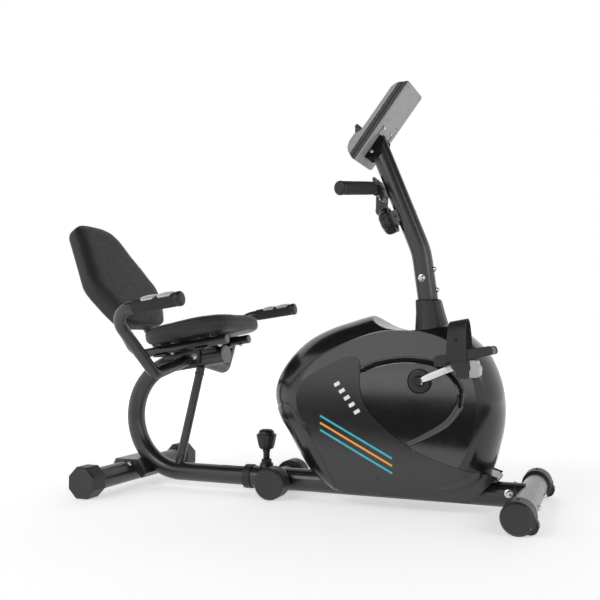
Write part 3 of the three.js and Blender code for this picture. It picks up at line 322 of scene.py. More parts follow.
def skin(sections, caps=True):
    """Vertices and faces of a surface over equal closed sections."""
    n = len(sections[0])
    last = (len(sections) - 1) * n
    faces = [(a + i, a + (i + 1) % n, a + n + (i + 1) % n, a + n + i)
             for a in range(0, last, n) for i in range(n)]
    if caps:
        faces += [tuple(reversed(range(n))), tuple(range(last, last + n))]
    return [p for s in sections for p in s], faces


def loft(name, sections, material, body=None, replaces=(), smooth=40, caps=True):
    return make(name, *skin(sections, caps), material, body, replaces, smooth)


def bent(*corners):
    """Points along a bent bar; corners are (x, y, z[, bend radius])."""
    step = deg(4.0)
    pts = [Vector(c[:3]) for c in corners]
    out = [pts[0]]
    for before, at, after, corner in zip(pts, pts[1:], pts[2:], corners[1:]):
        back = (before - at).normalized()
        on = (after - at).normalized()
        half = back.angle(on) / 2
        centre = at + (back + on).normalized() * (corner[3] / math.sin(half))
        a = at + back * (corner[3] / math.tan(half)) - centre
        b = at + on * (corner[3] / math.tan(half)) - centre
        turn = a.angle(b)
        count = max(3, round(turn / step))
        out += [Matrix.Rotation(turn * k / count, 3, a.cross(b).normalized()) @ a + centre
                for k in range(count + 1)]
    return [*out, pts[-1]]


def circle(radius, sides):
    turns = [2 * math.pi * i / sides for i in range(sides)]
    return [(radius * math.cos(a), radius * math.sin(a)) for a in turns]


def sweep(points, radius, sides):
    """Round sections carried along points without twisting."""
    tangents = [(points[min(i + 1, len(points) - 1)] - points[max(i - 1, 0)]).normalized()
                for i in range(len(points))]
    up = Vector((0, 0, 1)) if abs(tangents[0].z) < 0.9 else Vector((1, 0, 0))
    u = tangents[0].cross(up).normalized()
    sections = []
    for p, t in zip(points, tangents):
        u = (u - t * u.dot(t)).normalized()
        v = t.cross(u)
        sections.append([place(*(p + u * a + v * b)) for a, b in circle(radius, sides)])
    return sections


def tube(name, points, radius, body, replaces=(), sides=36, edge=1.0):
    bevel(loft(name, sweep(points, radius, sides), PAINT, body, replaces, smooth=50), edge)


def axes_of(direction):
    z = Vector(direction).normalized()
    x = Vector((0, 1, 0)) if abs(z.y) < 0.9 else Vector((1, 0, 0))
    x = (x - z * x.dot(z)).normalized()
    return x, z.cross(x), z


def lathe(name, profile, centre, direction, material, body, replaces=(), sides=48, smooth=35):
    """A turned piece: profile [(radius, along)] from one end to the other."""
    x, y, z = axes_of(direction)
    c = Vector(centre)
    sections = [[place(*(c + z * h + x * a + y * b)) for a, b in circle(max(r, 0.01), sides)]
                for r, h in profile]
    return loft(name, sections, material, body, replaces, smooth)


def plate_xz(name, outline, y0, y1, material, body=None, replaces=(), edge=1.0):
    """A flat piece across the bike, drawn in the side view; a cutter keeps its sharp edges."""
    sides = [[place(x, y, z) for x, z in outline] for y in (y0, y1)]
    obj = loft(name, sides, material, body, replaces, smooth=30)
    return bevel(obj, edge, 3) if body else obj


def spline(points, closed=False):
    """Centripetal Catmull-Rom curve with the same number of steps between every two points."""
    steps = 24
    pts = [np.array(p, float) for p in points]
    pts = ([pts[-1], *pts, *pts[:2]] if closed
           else [2 * pts[0] - pts[1], *pts, 2 * pts[-1] - pts[-2]])

    def between(u, start, end, a, b):
        return (end - u) / (end - start) * a + (u - start) / (end - start) * b

    out = []
    for p0, p1, p2, p3 in zip(pts, pts[1:], pts[2:], pts[3:]):
        t0 = 0.0
        t1 = t0 + np.linalg.norm(p1 - p0) ** 0.5
        t2 = t1 + np.linalg.norm(p2 - p1) ** 0.5
        t3 = t2 + np.linalg.norm(p3 - p2) ** 0.5
        for k in range(steps):
            u = t1 + (t2 - t1) * k / steps
            middle = between(u, t1, t2, p1, p2)
            before = between(u, t0, t2, between(u, t0, t1, p0, p1), middle)
            after = between(u, t1, t3, middle, between(u, t2, t3, p2, p3))
            out.append(between(u, t1, t2, before, after))
    return np.array(out if closed else [*out, pts[-2]])


def curve_through(points, count, closed=False):
    """The spline through points, stepped evenly by length."""
    path = spline(points, closed)
    if closed:
        path = np.vstack([path, path[:1]])
    length = np.concatenate([[0], np.cumsum(np.linalg.norm(np.diff(path, axis=0), axis=1))])
    goal = np.linspace(0, length[-1], count, endpoint=not closed)
    return np.stack([np.interp(goal, length, path[:, k]) for k in range(path.shape[1])], 1)


# ------------------------------------------------------------------ camera, light and floor
CAMERA_AT = Vector((0.8459, -1.8609, 0.4149))
CAMERA_YAW, CAMERA_PITCH, CAMERA_ROLL = 0.4046, 0.0560, -0.0074
LEVEL_AHEAD = Vector((-math.sin(CAMERA_YAW), math.cos(CAMERA_YAW), 0))
LEVEL_RIGHT = Vector((math.cos(CAMERA_YAW), math.sin(CAMERA_YAW), 0))


def make_camera():
    data = bpy.data.cameras.new("camera")
    data.lens = 44.4
    data.sensor_width = 36.0
    camera = add_object("camera", data)
    forward = LEVEL_AHEAD * math.cos(CAMERA_PITCH) + Vector((0, 0, math.sin(CAMERA_PITCH)))
    up = LEVEL_RIGHT.cross(forward)
    right = LEVEL_RIGHT * math.cos(CAMERA_ROLL) + up * math.sin(CAMERA_ROLL)
    up = up * math.cos(CAMERA_ROLL) - LEVEL_RIGHT * math.sin(CAMERA_ROLL)
    columns = Matrix((right, up, -forward)).transposed()
    camera.matrix_world = Matrix.Translation(CAMERA_AT) @ columns.to_4x4()
    bpy.context.scene.camera = camera


def area_light(name, at, target, size, energy):
    data = bpy.data.lights.new(name, "AREA")
    data.shape = "RECTANGLE"
    data.size, data.size_y = size
    data.energy = energy
    light = add_object(name, data)
    light.location = at
    light.rotation_mode = "QUATERNION"
    light.rotation_quaternion = (Vector(target) - Vector(at)).to_track_quat("-Z", "Y")


def stage_plane(name, corners, material):
    """A flat card of the studio, not part of the bike."""
    mesh = bpy.data.meshes.new(name)
    mesh.from_pydata(corners, [], [(0, 1, 2, 3)])
    mesh.materials.append(material)
    card = add_object(name, mesh)
    return card


def flag(name, near, far, height, material):
    """A dark card for the gloss, laid level between two distances ahead of the camera's foot."""
    wide = 3.4
    foot = Vector((CAMERA_AT.x, CAMERA_AT.y, height))
    card = stage_plane(name, [foot + LEVEL_AHEAD * a + LEVEL_RIGHT * b
                              for a, b in ((near, -wide), (near, wide), (far, wide), (far, -wide))], material)
    # The floor stays pale from every side.
    card.visible_camera = False
    return card


def make_stage():
    n = Nodes("studio_floor")
    floor = n.finish(n.mottle(3.0, 2.0, (0.90, 0.90, 0.90), (0.92, 0.92, 0.92)), n.uneven(5.0, 4.0, 0.8, 0.9),
                     Emission_Strength=0.5, Emission_Color=(1.0, 1.0, 1.0, 1.0), Specular_IOR_Level=0.1)
    s = 14.0
    stage_plane("floor", [(x, y, -0.0005) for x, y in ((-s, -s), (s, -s), (s, s), (-s, s))], floor)
    n = Nodes("studio_flag")
    black = n.finish(n.mottle(3.0, 2.0, (0.012, 0.012, 0.012), (0.016, 0.016, 0.016)),
                     n.uneven(5.0, 4.0, 0.85, 0.95), Specular_IOR_Level=0.0)
    low = flag("front_flag", -1.5, 0.98, 0.003, black)
    low.visible_diffuse = low.visible_shadow = False
    flag("top_flag", -3.0, 3.9, 2.7, black)
    world = bpy.data.worlds.new("studio")
    bpy.context.scene.world = world
    world.use_nodes = True
    background = world.node_tree.nodes["Background"]
    background.inputs["Color"].default_value = (1.0, 1.0, 1.0, 1.0)
    background.inputs["Strength"].default_value = 1.0
    area_light("key", (-0.9, -2.8, 2.3), (0, 0, 0.4), (1.3, 0.8), 24)
    area_light("fill", (2.6, -1.2, 1.7), (0.1, 0, 0.4), (0.6, 1.6), 10)
    bpy.context.scene.view_settings.view_transform = "Standard"


make_camera()
make_stage()

# ------------------------------------------------------------------ carried-over CAD nodes
# Finish and rounded edge (mm) by the start of a node's name; a longer name comes after its shorter one.
CAD_LOOKS = {
    "front_base_tube": (PAINT, 0), "sleeve_collar": (TRIM, 1.5), "front_foot_tube": (LIT_FOOT_PAINT, 0),
    # crank_axle wears the near-black knob moulding as painted shade of the hole through the crank boss.
    "rear_foot_tube": (PAINT, 0), "upright_stub": (PAINT, 0), "crank_axle": (KNOB, 0),
    "crank_pulley": (TRIM, 0), "drive_belt": (WHEEL, 0), "flywheel": (IRON, 0), "flywheel_axle": (STEEL, 0),
    "idler_arm": (STEEL, 0), "idler_roller": (TRIM, 0), "magnet_bracket": (STEEL, 0),
    "post_cover": (TRIM, 1.0), "tension_housing": (GREY_BOX, 1.5), "bar_clamp": (TRIM, 1.0),
    "seat_carrier": (PAINT, 1.2), "rear_saddle": (PAINT, 1.5), "frame_end_cap": (GREY_CAP, 0.8),
    "console_screen": (SCREEN, 0), "crank_bearing": (STEEL, 0), "flywheel_bracket": (PAINT, 0),
    "rear_cap": (CAP, 2.0), "middle_cap": (CAP, 2.0), "front_cap": (CAP, 1.5),
    "transport_roller": (WHEEL, 0), "console_button": (CONSOLE_DARK, 1.2), "adjuster_knob": (KNOB, 0),
    "tension_knob": (KNOB, 0)}


def dress_cad():
    for name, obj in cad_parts.items():
        for key, (material, edge) in CAD_LOOKS.items():
            if name == key or name.startswith(key + "_"):
                obj.data.materials.clear()
                obj.data.materials.append(material)
                shade(obj, 32)
                if edge:
                    bevel(obj, edge, 2, 30)


dress_cad()

# ------------------------------------------------------------------ housing
# Each place has the outline at the middle seam, and the edge of the flat face beside it.
HOUSING_OUTLINE = [
    ((-50, 269), (44, 268)), ((-46, 300), (52, 308)), ((-27, 340), (71, 342)), ((11, 385), (108, 374)),
    ((61, 424), (153, 398)), ((118, 450), (207, 420)), ((175, 467), (250, 434)), ((230, 481), (290, 441)),
    ((300, 485), (335, 443)), ((370, 479), (385, 436)), ((430, 460), (425, 423)), ((482, 424), (458, 402)),
    ((524, 380), (484, 368)), ((547, 330), (500, 322)), ((559, 271), (507, 270)), ((557, 212), (502, 216)),
    ((545, 157), (488, 165)), ((524, 95), (462, 115)), ((488, 60), (425, 78)), ((420, 44), (370, 52)),
    ((300, 40), (290, 42)), ((180, 38), (210, 39)), ((110, 42), (160, 42)), ((57, 73), (135, 92)),
    ((21, 125), (104, 145)), ((-10, 176), (72, 190)), ((-33, 212), (52, 225))]
HALF = 92.0
WING_RISE = 1.6
GROOVE_TOP = [(222, 340), (240, 350), (263, 358), (326, 368), (372, 366), (412, 357), (447, 332), (466, 305),
              (470, 290), (466, 260)]
GROOVE_LOW = [(466, 260), (437, 220), (385, 186), (340, 163)]
REAR_PANEL = [(-90, 236), (-34, 240), (-10, 250), (8, 256), (22, 254), (38, 242), (60, 204), (74, 190),
              (98, 153), (124, 112), (150, 60)]
WING_TOP = [(54, 309), (92, 333), (130, 352), (165, 368), (190, 376), (206, 375), (217, 366), (221, 352),
            (219, 330), (219, 305), (225, 272), (237, 248), (269, 212), (298, 188), (331, 164), (384, 137),
            (478, 107), (544, 89)]
WING_BOTTOM = [(481, 27), (387, 34), (275, 42), (205, 39), (170, 40), (150, 62), (124, 112), (98, 153),
               (70, 192), (52, 224), (45, 268)]
SCOOP = [(225, 484), (232, 481), (243, 470), (256, 460), (272, 451), (290, 445), (315, 441), (345, 440),
         (395, 443), (425, 452), (455, 470), (470, 490)]
CHIN = [(474, 84), (500, 92), (519, 94), (536, 90), (546, 83), (543, 75), (500, 73), (470, 73)]
CRANK = Vector((371, 0, 317))
BASE_Z = 42
AROUND, SIDE_ROWS, FACE_ROWS = 480, 34, 100
CENTRE = (300.0, 250.0)


def near_line(px, pz, line):
    """Distance of points from a polyline in the side view, and how far along it they are (0 to 1)."""
    line = np.array(line, float)
    best = np.full(px.shape, 1e9)
    along = np.zeros(px.shape)
    steps = np.linalg.norm(np.diff(line, axis=0), axis=1)
    run = 0.0
    for (ax, az), (bx, bz), length in zip(line[:-1], line[1:], steps):
        dx, dz = bx - ax, bz - az
        t = np.clip(((px - ax) * dx + (pz - az) * dz) / (length ** 2), 0, 1)
        d = np.hypot(px - ax - t * dx, pz - az - t * dz)
        closer = d < best
        best = np.where(closer, d, best)
        along = np.where(closer, (run + t * length) / steps.sum(), along)
        run += length
    return best, along


def outline_ring(which):
    """The seam (0) or face edge (1), stepped by place in the table so that both pair up."""
    ring = spline([pair[which] for pair in HOUSING_OUTLINE], closed=True)
    goal = np.linspace(0, len(ring), AROUND, endpoint=False)
    ring = np.vstack([ring, ring[:1]])
    return [np.interp(goal, np.arange(len(ring)), ring[:, k]) for k in (0, 1)]


def housing_grid():
    """Rows of the shell's skin from the seam round the side, then in over the flat face."""
    (seam_x, seam_z), (face_x, face_z) = outline_ring(0), outline_ring(1)
    frontness = np.clip((seam_x - 380) / 160, 0, 1)
    full = np.radians(64 + 24 * frontness * frontness * (3 - 2 * frontness))
    rows = []
    for k in range(SIDE_ROWS + 1):
        turn = full * k / SIDE_ROWS
        mix = (1 - np.cos(turn)) / (1 - np.cos(full))
        rows.append((seam_x * (1 - mix) + face_x * mix, HALF * np.sin(turn) / np.sin(full),
                     seam_z * (1 - mix) + face_z * mix))
    for k in range(1, FACE_ROWS + 1):
        t = k / FACE_ROWS * 0.985
        x, z = face_x * (1 - t) + CENTRE[0] * t, face_z * (1 - t) + CENTRE[1] * t
        rows.append((x, np.full(AROUND, HALF), z))
    x, y, z = (np.array(part) for part in zip(*rows))
    # Soften the crease between the rounded side and the flat face.
    low, high = SIDE_ROWS - 3, SIDE_ROWS + 4
    for _ in range(3):
        for a in (x, y, z):
            a[low:high] = (a[low - 1:high - 1] + a[low + 1:high + 1] + 2 * a[low:high]) / 4
    return x, y, z


def press_details(x, y, z):
    """Crown, parting grooves, crank boss and post dip; gives the places that lie deep in the groove, which
    get painted shade.
    """
    on_face = np.clip((y - 86) / 6, 0, 1)
    y += 2.4 * np.clip(1 - ((x - 275) / 250) ** 2 - ((z - 250) / 200) ** 2, 0, 1) * on_face
    d, along = near_line(x, z, curve_through(GROOVE_TOP, 60))
    width = 5.4 - 1.4 * along
    y -= on_face * 5.0 * np.exp(-(d / width) ** 4) * np.clip(along * 30 + 0.2, 0, 1)
    deep = (on_face > 0.5) & (d < width * (0.9 - 0.5 * np.clip((along - 0.8) / 0.2, 0, 1)))
    d, along = near_line(x, z, curve_through(GROOVE_LOW, 40))
    y -= on_face * (3.4 - 2.6 * along) * np.exp(-(d / (4.0 - 2.2 * along)) ** 2)
    hub = np.hypot(x - CRANK.x, z - CRANK.z)
    y += on_face * 1.2 * np.clip((29 - hub) / 2, 0, 1)
    y -= 60 * np.clip((15.5 - hub) / 1.5, 0, 1)
    # The dip behind the post cuts straight across the width, with a soft edge.
    scoop = np.array(SCOOP, float)
    over = z - np.interp(x, scoop[:, 0], scoop[:, 1], left=900, right=900)
    soft = 3.0
    eased = np.maximum(over + (soft - np.clip(over, -soft, soft)) ** 2 / (4 * soft), 0)
    z -= np.where(over > -soft, eased, 0)
    return deep


def housing_half(side, hand):
    x, y, z = housing_grid()
    deep = press_details(x, y, z)
    thin = 0.25
    y = np.maximum(y, thin)
    rows = [[place(a, side * b, c) for a, b, c in zip(*row)] for row in zip(x, y, z)]
    verts, faces = skin(rows, caps=False)
    walls = len(faces)
    faces.append(tuple(range(walls, walls + AROUND)))
    # Closed along the seam by an inner skin a little inside the outer one.
    base = len(verts)
    verts += [place(CENTRE[0] + (a - CENTRE[0]) * 0.985, side * thin, CENTRE[1] + (c - CENTRE[1]) * 0.985)
              for a, c in zip(x[0], z[0])]
    faces += [(i, base + i, base + (i + 1) % AROUND, (i + 1) % AROUND) for i in range(AROUND)]
    faces.append(tuple(range(base, base + AROUND)))
    obj = make(f"housing_shell_{hand}", verts, faces, SHELL, FRONT, (f"housing_{hand}",), smooth=60)
    obj.data.materials.append(FACE)
    obj.data.materials.append(DARK)
    # Faces deep in the groove take the near-black finish as painted shade; the rest are shell or face.
    for p, in_groove in zip(obj.data.polygons[:walls], deep.ravel()):
        p.material_index = 2 if in_groove else int(p.index >= (SIDE_ROWS + 1) * AROUND)
    raise_rear_panel(obj.data)
    return obj


def raise_rear_panel(mesh):
    """The panel that wraps the housing's lower rear stands a little proud, with a soft step."""
    co = rows_of(mesh, "co")
    x, z = co[:, 0] * 1000 - SHIFT_X, co[:, 2] * 1000
    line = np.array(REAR_PANEL, float)
    inside = z < np.interp(x, line[:, 0], line[:, 1], right=-100)
    lift = np.where(inside, np.clip(near_line(x, z, line)[0] / 3.0, 0, 1), 0) * 2.2 / 1000
    co += rows_of(mesh, "normal") * lift[:, None]
    mesh.vertices.foreach_set("co", co.ravel())
    mesh.update()


def surface_tree(mesh):
    return BVHTree.FromPolygons([v.co.copy() for v in mesh.vertices],
                                [tuple(p.vertices) for p in mesh.polygons])


def skin_height(tree, x, z):
    """How far the right-hand skin stands from the middle plane at a place in the side view, mm."""
    where = tree.ray_cast(place(x, -300, z), Vector((0, 1, 0)))[0]
    return -where.y * 1000 if where else 0.0


def wing_height(tree, x, z):
    """Outer surface of the wing panel: over the shell, or its own slope where it runs clear of it."""
    shell = skin_height(tree, x, z) + WING_RISE
    slope = HALF + WING_RISE - 44 * min(1.0, max(0.0, (x - 330) / 216)) ** 1.3
    blend = 5.0
    return max(shell, slope) + max(0.0, blend - abs(shell - slope)) ** 2 / (4 * blend)


def wing(side, hand, tree):
    """A raised panel: its outline filled, cut into an 8 mm grid and laid over the shell."""
    b = bmesh.new()
    outline = [*curve_through(WING_TOP, 150), *curve_through(WING_BOTTOM, 90)]
    ring = [b.verts.new((x, 0, z)) for x, z in outline]
    edges = [b.edges.new((p, q)) for p, q in zip(ring, ring[1:] + ring[:1])]
    bmesh.ops.triangle_fill(b, edges=edges, use_beauty=True)
    for axis, cuts in ((Vector((1, 0, 0)), range(56, 545, 8)), (Vector((0, 0, 1)), range(40, 375, 8))):
        for cut in cuts:
            bmesh.ops.bisect_plane(b, geom=b.verts[:] + b.edges[:] + b.faces[:], plane_co=axis * cut,
                                   plane_no=axis)
    b.verts.index_update()
    flat = [(v.co.x, v.co.z) for v in b.verts]
    faces = [tuple(v.index for v in f.verts) for f in b.faces]
    rim = [tuple(v.index for v in e.verts) for e in b.edges if len(e.link_faces) == 1]
    b.free()
    n = len(flat)
    thick = 5.0
    heights = [wing_height(tree, x, z) for x, z in flat]
    verts = [place(x, side * (h - depth), z) for depth in (0, thick) for (x, z), h in zip(flat, heights)]
    faces += [tuple(n + i for i in reversed(f)) for f in faces]
    faces += [(p, q, n + q, n + p) for p, q in rim]
    obj = make(f"housing_wing_{hand}", verts, faces, WING, FRONT, (f"housing_{hand}",), smooth=50)
    # The wing panel's rim faces are near-black: painted shade along its step.
    obj.data.materials.append(DARK)
    for p in obj.data.polygons[-len(rim):]:
        p.material_index = 1
    return bevel(obj, 0.7, 2, 40)


# Plain accent stripes: (name, line, widths along it, ink, how proud it stands).
STRIPES = [
    ("teal_upper", [(112, 226), (206, 177), (300, 128)], [5.0, 5.0], TEAL, 0.3),
    ("orange_middle", [(112, 208), (206, 159), (300, 110)], [5.0, 5.0], ORANGE, 0.3),
    ("teal_lower", [(112, 190), (206, 141), (300, 92)], [5.0, 5.0], TEAL, 0.3)]
STRIPES += [(f"white_{i + 1}", [(x, z), (x + 7, z + 4), (x + 14, z + 8)], [9.0] * 3, WHITE, 0.25)
            for i, (x, z) in enumerate((152 + 13 * k, 303 - 17 * k) for k in range(5))]


def ribbon(name, line, widths, ink, lift, side, tree):
    """A printed stripe that follows the wing panel's surface."""
    pts = curve_through(line, max(24, 6 * len(line)))
    n = len(pts)
    grow = np.interp(np.linspace(0, 1, n), np.linspace(0, 1, len(widths)), widths)
    sections = []
    for i, (x, z) in enumerate(pts):
        t = pts[min(i + 1, n - 1)] - pts[max(i - 1, 0)]
        t *= grow[i] / 2 / np.linalg.norm(t)
        ring = []
        for s, levels in ((-1, (-0.6, lift)), (1, (lift, -0.6))):
            px, pz = x - t[1] * s, z + t[0] * s
            ring += [place(px, side * (skin_height(tree, px, pz) + level), pz) for level in levels]
        sections.append(ring)
    loft(name, sections, ink, FRONT, smooth=50)


def hub_and_screw(side, hand, tree):
    hub, out = (CRANK.x, side * 94.3, CRANK.z), (0, side, 0)
    lathe(f"crank_boss_{hand}", [(12.6, -6), (12.6, 2.0), (13.4, 2.8), (24.5, 2.8), (27, 1.8), (27.6, -4)],
          hub, out, TRIM, FRONT, sides=64)
    # Near-black disc in the hub's hole and ring in the boss's groove: painted shade.
    lathe(f"crank_hole_shade_{hand}", [(0, -7), (14.6, -7), (14.6, -3), (0, -3)], hub, out, DARK, FRONT)
    lathe(f"crank_boss_gap_{hand}", [(27, -3), (29.6, -3), (29.6, 1.6), (27, 1.6)], hub, out, DARK, FRONT,
          sides=64)
    at = (263, side * skin_height(tree, 263, 79), 79)
    lathe(f"shell_screw_{hand}", [(0, -4), (4.8, -4), (4.8, 0.2), (4.2, 0.5), (3.4, -2.4), (0, -2.4)], at,
          out, DARK, FRONT, sides=24)


def clear_tube_way(shell):
    """A bore through the shell, inside the base tube, for the seat frame's tube to slide in."""
    carve(shell, loft("bore", sweep([Vector((-95, 0, BASE_Z)), Vector((215, 0, BASE_Z))], 27.6, 48), DARK))
    shade(shell, 60)


def housing():
    plate_xz("housing_chin", CHIN, -43, 43, WING, FRONT, ("housing_right", "housing_left"), edge=7)
    shells = [housing_half(side, hand) for hand, side in SIDES]
    shell_tree = surface_tree(shells[0].data)
    wings = [wing(side, hand, shell_tree) for hand, side in SIDES]
    tree = surface_tree(wings[0].data)
    for hand, side in SIDES:
        for name, *stripe in STRIPES:
            ribbon(f"stripe_{name}_{hand}", *stripe, side, tree)
        hub_and_screw(side, hand, tree)
    for shell in shells:
        clear_tube_way(shell)


housing()

# ------------------------------------------------------------------ frame tubes
UPPER_RISE = deg(8.5)
RAIL_SLOPE = math.tan(UPPER_RISE)
RAIL_Y, RAIL_R = 66, 12.5
BACK_LEAN = deg(34)
BACK_DIR = Vector((-math.sin(BACK_LEAN), 0, math.cos(BACK_LEAN)))
BACK_OUT = Vector((math.cos(BACK_LEAN), 0, math.sin(BACK_LEAN)))
UPPER_DIR = Vector((245 - 358.5, 0, 937 - 642)).normalized()
RIDER_DIR = Vector((-UPPER_DIR.z, 0, UPPER_DIR.x))
BAR = Vector((246, 0, 811))
GRIP_DIR = Vector((204, 0, 26)).normalized()
GRIP_UP = Vector((-GRIP_DIR.z, 0, GRIP_DIR.x))


def rail_z(x):
    return 424 + (x + 173) * RAIL_SLOPE


def rail_heel(side):
    """Where a seat rail turns up behind the backrest."""
    return Vector((-474, side * RAIL_Y, rail_z(-474)))


def rail_line(side, reach):
    heel = rail_heel(side)
    return bent((-173, side * RAIL_Y, rail_z(-173)), (*heel, 60), heel + BACK_DIR * reach)


def slotted_tube():
    """The C-bent tube, with the slot for the lock pin along its lower run."""
    centre, radius = Vector((-361, 0, 199.5)), 157.5
    points = [Vector((30, 0, BASE_Z))]
    steps = 60
    for i in range(steps + 1):
        a = deg(270) - (math.pi - UPPER_RISE) * i / steps
        points.append(centre + Vector((math.cos(a), 0, math.sin(a))) * radius)
    points.append(Vector((-214, 0, 355.27 + (384.28 - 214) * RAIL_SLOPE)))
    obj = loft("sliding_c_tube", sweep(points, 25.5, 48), PAINT, smooth=50)
    carve(obj, plate_xz("slot", [(-225, 58), (8, 58), (8, 90), (-225, 90)], -5.6, 5.6, PAINT))
    attach(obj, REAR, ("rear_main_tube",))


def weld(name, centre, direction, radius, body, thick=2.2, sides=40):
    """A weld bead round a tube where it meets another piece."""
    x, y, z = axes_of(direction)
    c = Vector(centre)
    rows = []
    for i in range(sides + 1):
        a = 2 * math.pi * (i % sides) / sides
        out = x * math.cos(a) + y * math.sin(a)
        bead = thick * (1 + 0.18 * math.sin(a * 13) + 0.1 * math.sin(a * 29 + 1))
        rows.append([place(*(c + out * (radius + bead * u) + z * bead * v)) for u, v in circle(1, 8)])
    loft(name, rows, PAINT, body, smooth=180, caps=False)


def foam_grip(name, end, along, radius, length, body, overhang):
    """Foam sleeve with a soft swell, rolled ends and a moulded plug at the bar's end."""
    steps = 22
    profile = [(radius - 3.6, -length + 0.5)]
    for t in (i / steps for i in range(steps + 1)):
        swell = 0.5 * math.sin(math.pi * t) + 0.18 * math.sin(9 * t)
        profile.append((radius - 0.7 + swell, -length + 1 + (length + overhang - 6) * t))
    profile += [(radius - 2.2, overhang - 4.2), (radius - 3.6, overhang - 4)]
    lathe(f"{name}_foam", profile, end, along, FOAM, body, (name,), sides=40, smooth=70)
    plug = [(radius - 4, -6), (radius - 0.4, -6), (radius + 0.4, -4.6), (radius + 0.5, overhang - 4.2),
            (radius - 0.6, overhang - 1.8), (radius - 3.6, overhang - 0.4), (radius * 0.45, overhang),
            (0, overhang)]
    lathe(f"{name}_plug", plug, end, along, TRIM, body, sides=44, smooth=50)


def pulse_plate(name, end, start, stop):
    """Thin plated shell wrapped over the top of a seat grip, crowned and with rounded ends."""
    across = GRIP_DIR.cross(GRIP_UP)
    radius, crown = 19.6, 2.6
    steps, arc = 26, 18
    rows = []
    for i in range(steps + 1):
        s = start + (stop - start) * i / steps
        fade = min(1, (s - start + 2.0) / 9, (stop - s + 2.0) / 9)
        reach = 62 * math.sin(math.pi / 2 * max(0.35, fade))
        crest = radius + crown * max(0.0, math.sin(math.pi * i / steps)) ** 0.6
        ring = []
        for turn, r in ((1, crest), (-1, radius - crown)):
            for k in range(arc + 1):
                a = deg(turn * reach * (2 * k / arc - 1))
                out = GRIP_UP * math.cos(a) + across * math.sin(a)
                ring.append(place(*(end - GRIP_DIR * s + out * r)))
        rows.append(ring)
    bevel(loft(name, rows, ARM_PLATE, REAR, smooth=45), 0.4)


def frame_tubes():
    slotted_tube()
    tube("frame_strut_bar", [Vector((-368, 0, 62)), Vector((-294.5, 0, 345))], 12.5, REAR, ("frame_strut",))
    post = bent((379, 0, 471.5), (358.5, 0, 642, 200), (240.8, 0, 948))
    tube("upright_post_tube", post, 25.5, FRONT, ("upright_post",), sides=48)
    bar = bent((201, -175, 789), (BAR.x, -35, BAR.z, 45), (BAR.x, 35, BAR.z, 45), (201, 175, 789))
    tube("front_bar", bar, 12.5, FRONT, ("front_handlebar",), edge=0.6)
    weld("strut_weld_low", (-361.5, 0, 88), (74, 0, 283), 12.2, REAR)
    weld("strut_weld_high", (-300, 0, 325), (74, 0, 283), 12.2, REAR)
    weld("front_foot_weld", (578, 0, BASE_Z), (1, 0, 0), 29.6, FRONT, 2.6, 60)


def rails_and_grips(hand, side):
    rail = rail_line(side, 300)
    tube(f"seat_rail_tube_{hand}", rail, RAIL_R, REAR, (f"seat_rail_{hand}",), edge=0.6)
    lathe(f"rail_end_disc_{hand}", [(0, -3), (11.6, -3), (11.6, 0.6), (10.6, 1.3), (0, 1.6)], rail[0],
          (math.cos(UPPER_RISE), 0, math.sin(UPPER_RISE)), GREY_CAP, REAR, sides=36)
    end = Vector((-152, side * 341, 520))
    line = bent((-326, side * 33, 361.9), (-322, side * 191, 330, 40), (-356, side * 341, 494, 62), end)
    tube(f"seat_handlebar_tube_{hand}", line, 15.5, REAR, (f"seat_handlebar_{hand}",), sides=40, edge=0.6)
    weld(f"handlebar_weld_{hand}", line[0] - Vector((0, side * 0.6, 0)), line[1] - line[0], 15.4, REAR)
    foam_grip(f"seat_grip_{hand}", end, GRIP_DIR, 18, 132, REAR, 8)
    pulse_plate(f"pulse_plate_front_{hand}", end, 12, 56)
    pulse_plate(f"pulse_plate_rear_{hand}", end, 61, 104)
    bar_end = Vector((201, side * 175, 789))
    bar_dir = (bar_end - BAR - Vector((0, side * 35, 0))).normalized()
    foam_grip(f"front_grip_{hand}", bar_end, bar_dir, 17.4, 138, FRONT, 3)


frame_tubes()
for hand, side in SIDES:
    rails_and_grips(hand, side)


# ------------------------------------------------------------------ bolts
def dome_bolt(name, at, out, radius, body, washer=1.25):
    """Round-headed bolt over a washer, with a socket in its head."""
    w = radius * washer
    lathe(f"{name}_washer", [(0, -1.5), (w, -1.5), (w, 0.9), (w * 0.94, 1.2), (0, 1.2)], at, out, BOLT, body,
          sides=32, smooth=30)
    turns = [math.pi / 2 * k / 7 for k in range(1, 7)]
    rim, top = radius * 0.36, 1.8 + radius * 0.61
    head = [(radius, 0.6), (radius, 1.8),
            *((radius * math.cos(a), 1.8 + radius * 0.62 * math.sin(a)) for a in turns),
            (rim, top), (rim * 0.96, top - 0.2), (rim * 0.9, top - radius * 0.4), (0, top - radius * 0.4)]
    lathe(f"{name}_head", head, at, out, BOLT, body, sides=32, smooth=38)


def cap_screw(name, at, out, radius, body, material=BOLT):
    shape = ((0, None), (1, None), (1, 0.5), (0.86, 0.68), (0.5, 0.7), (0.46, 0.2), (0, 0.2))
    profile = [(radius * r, -1.5 if h is None else radius * h) for r, h in shape]
    lathe(name, profile, at, out, material, body, sides=28)


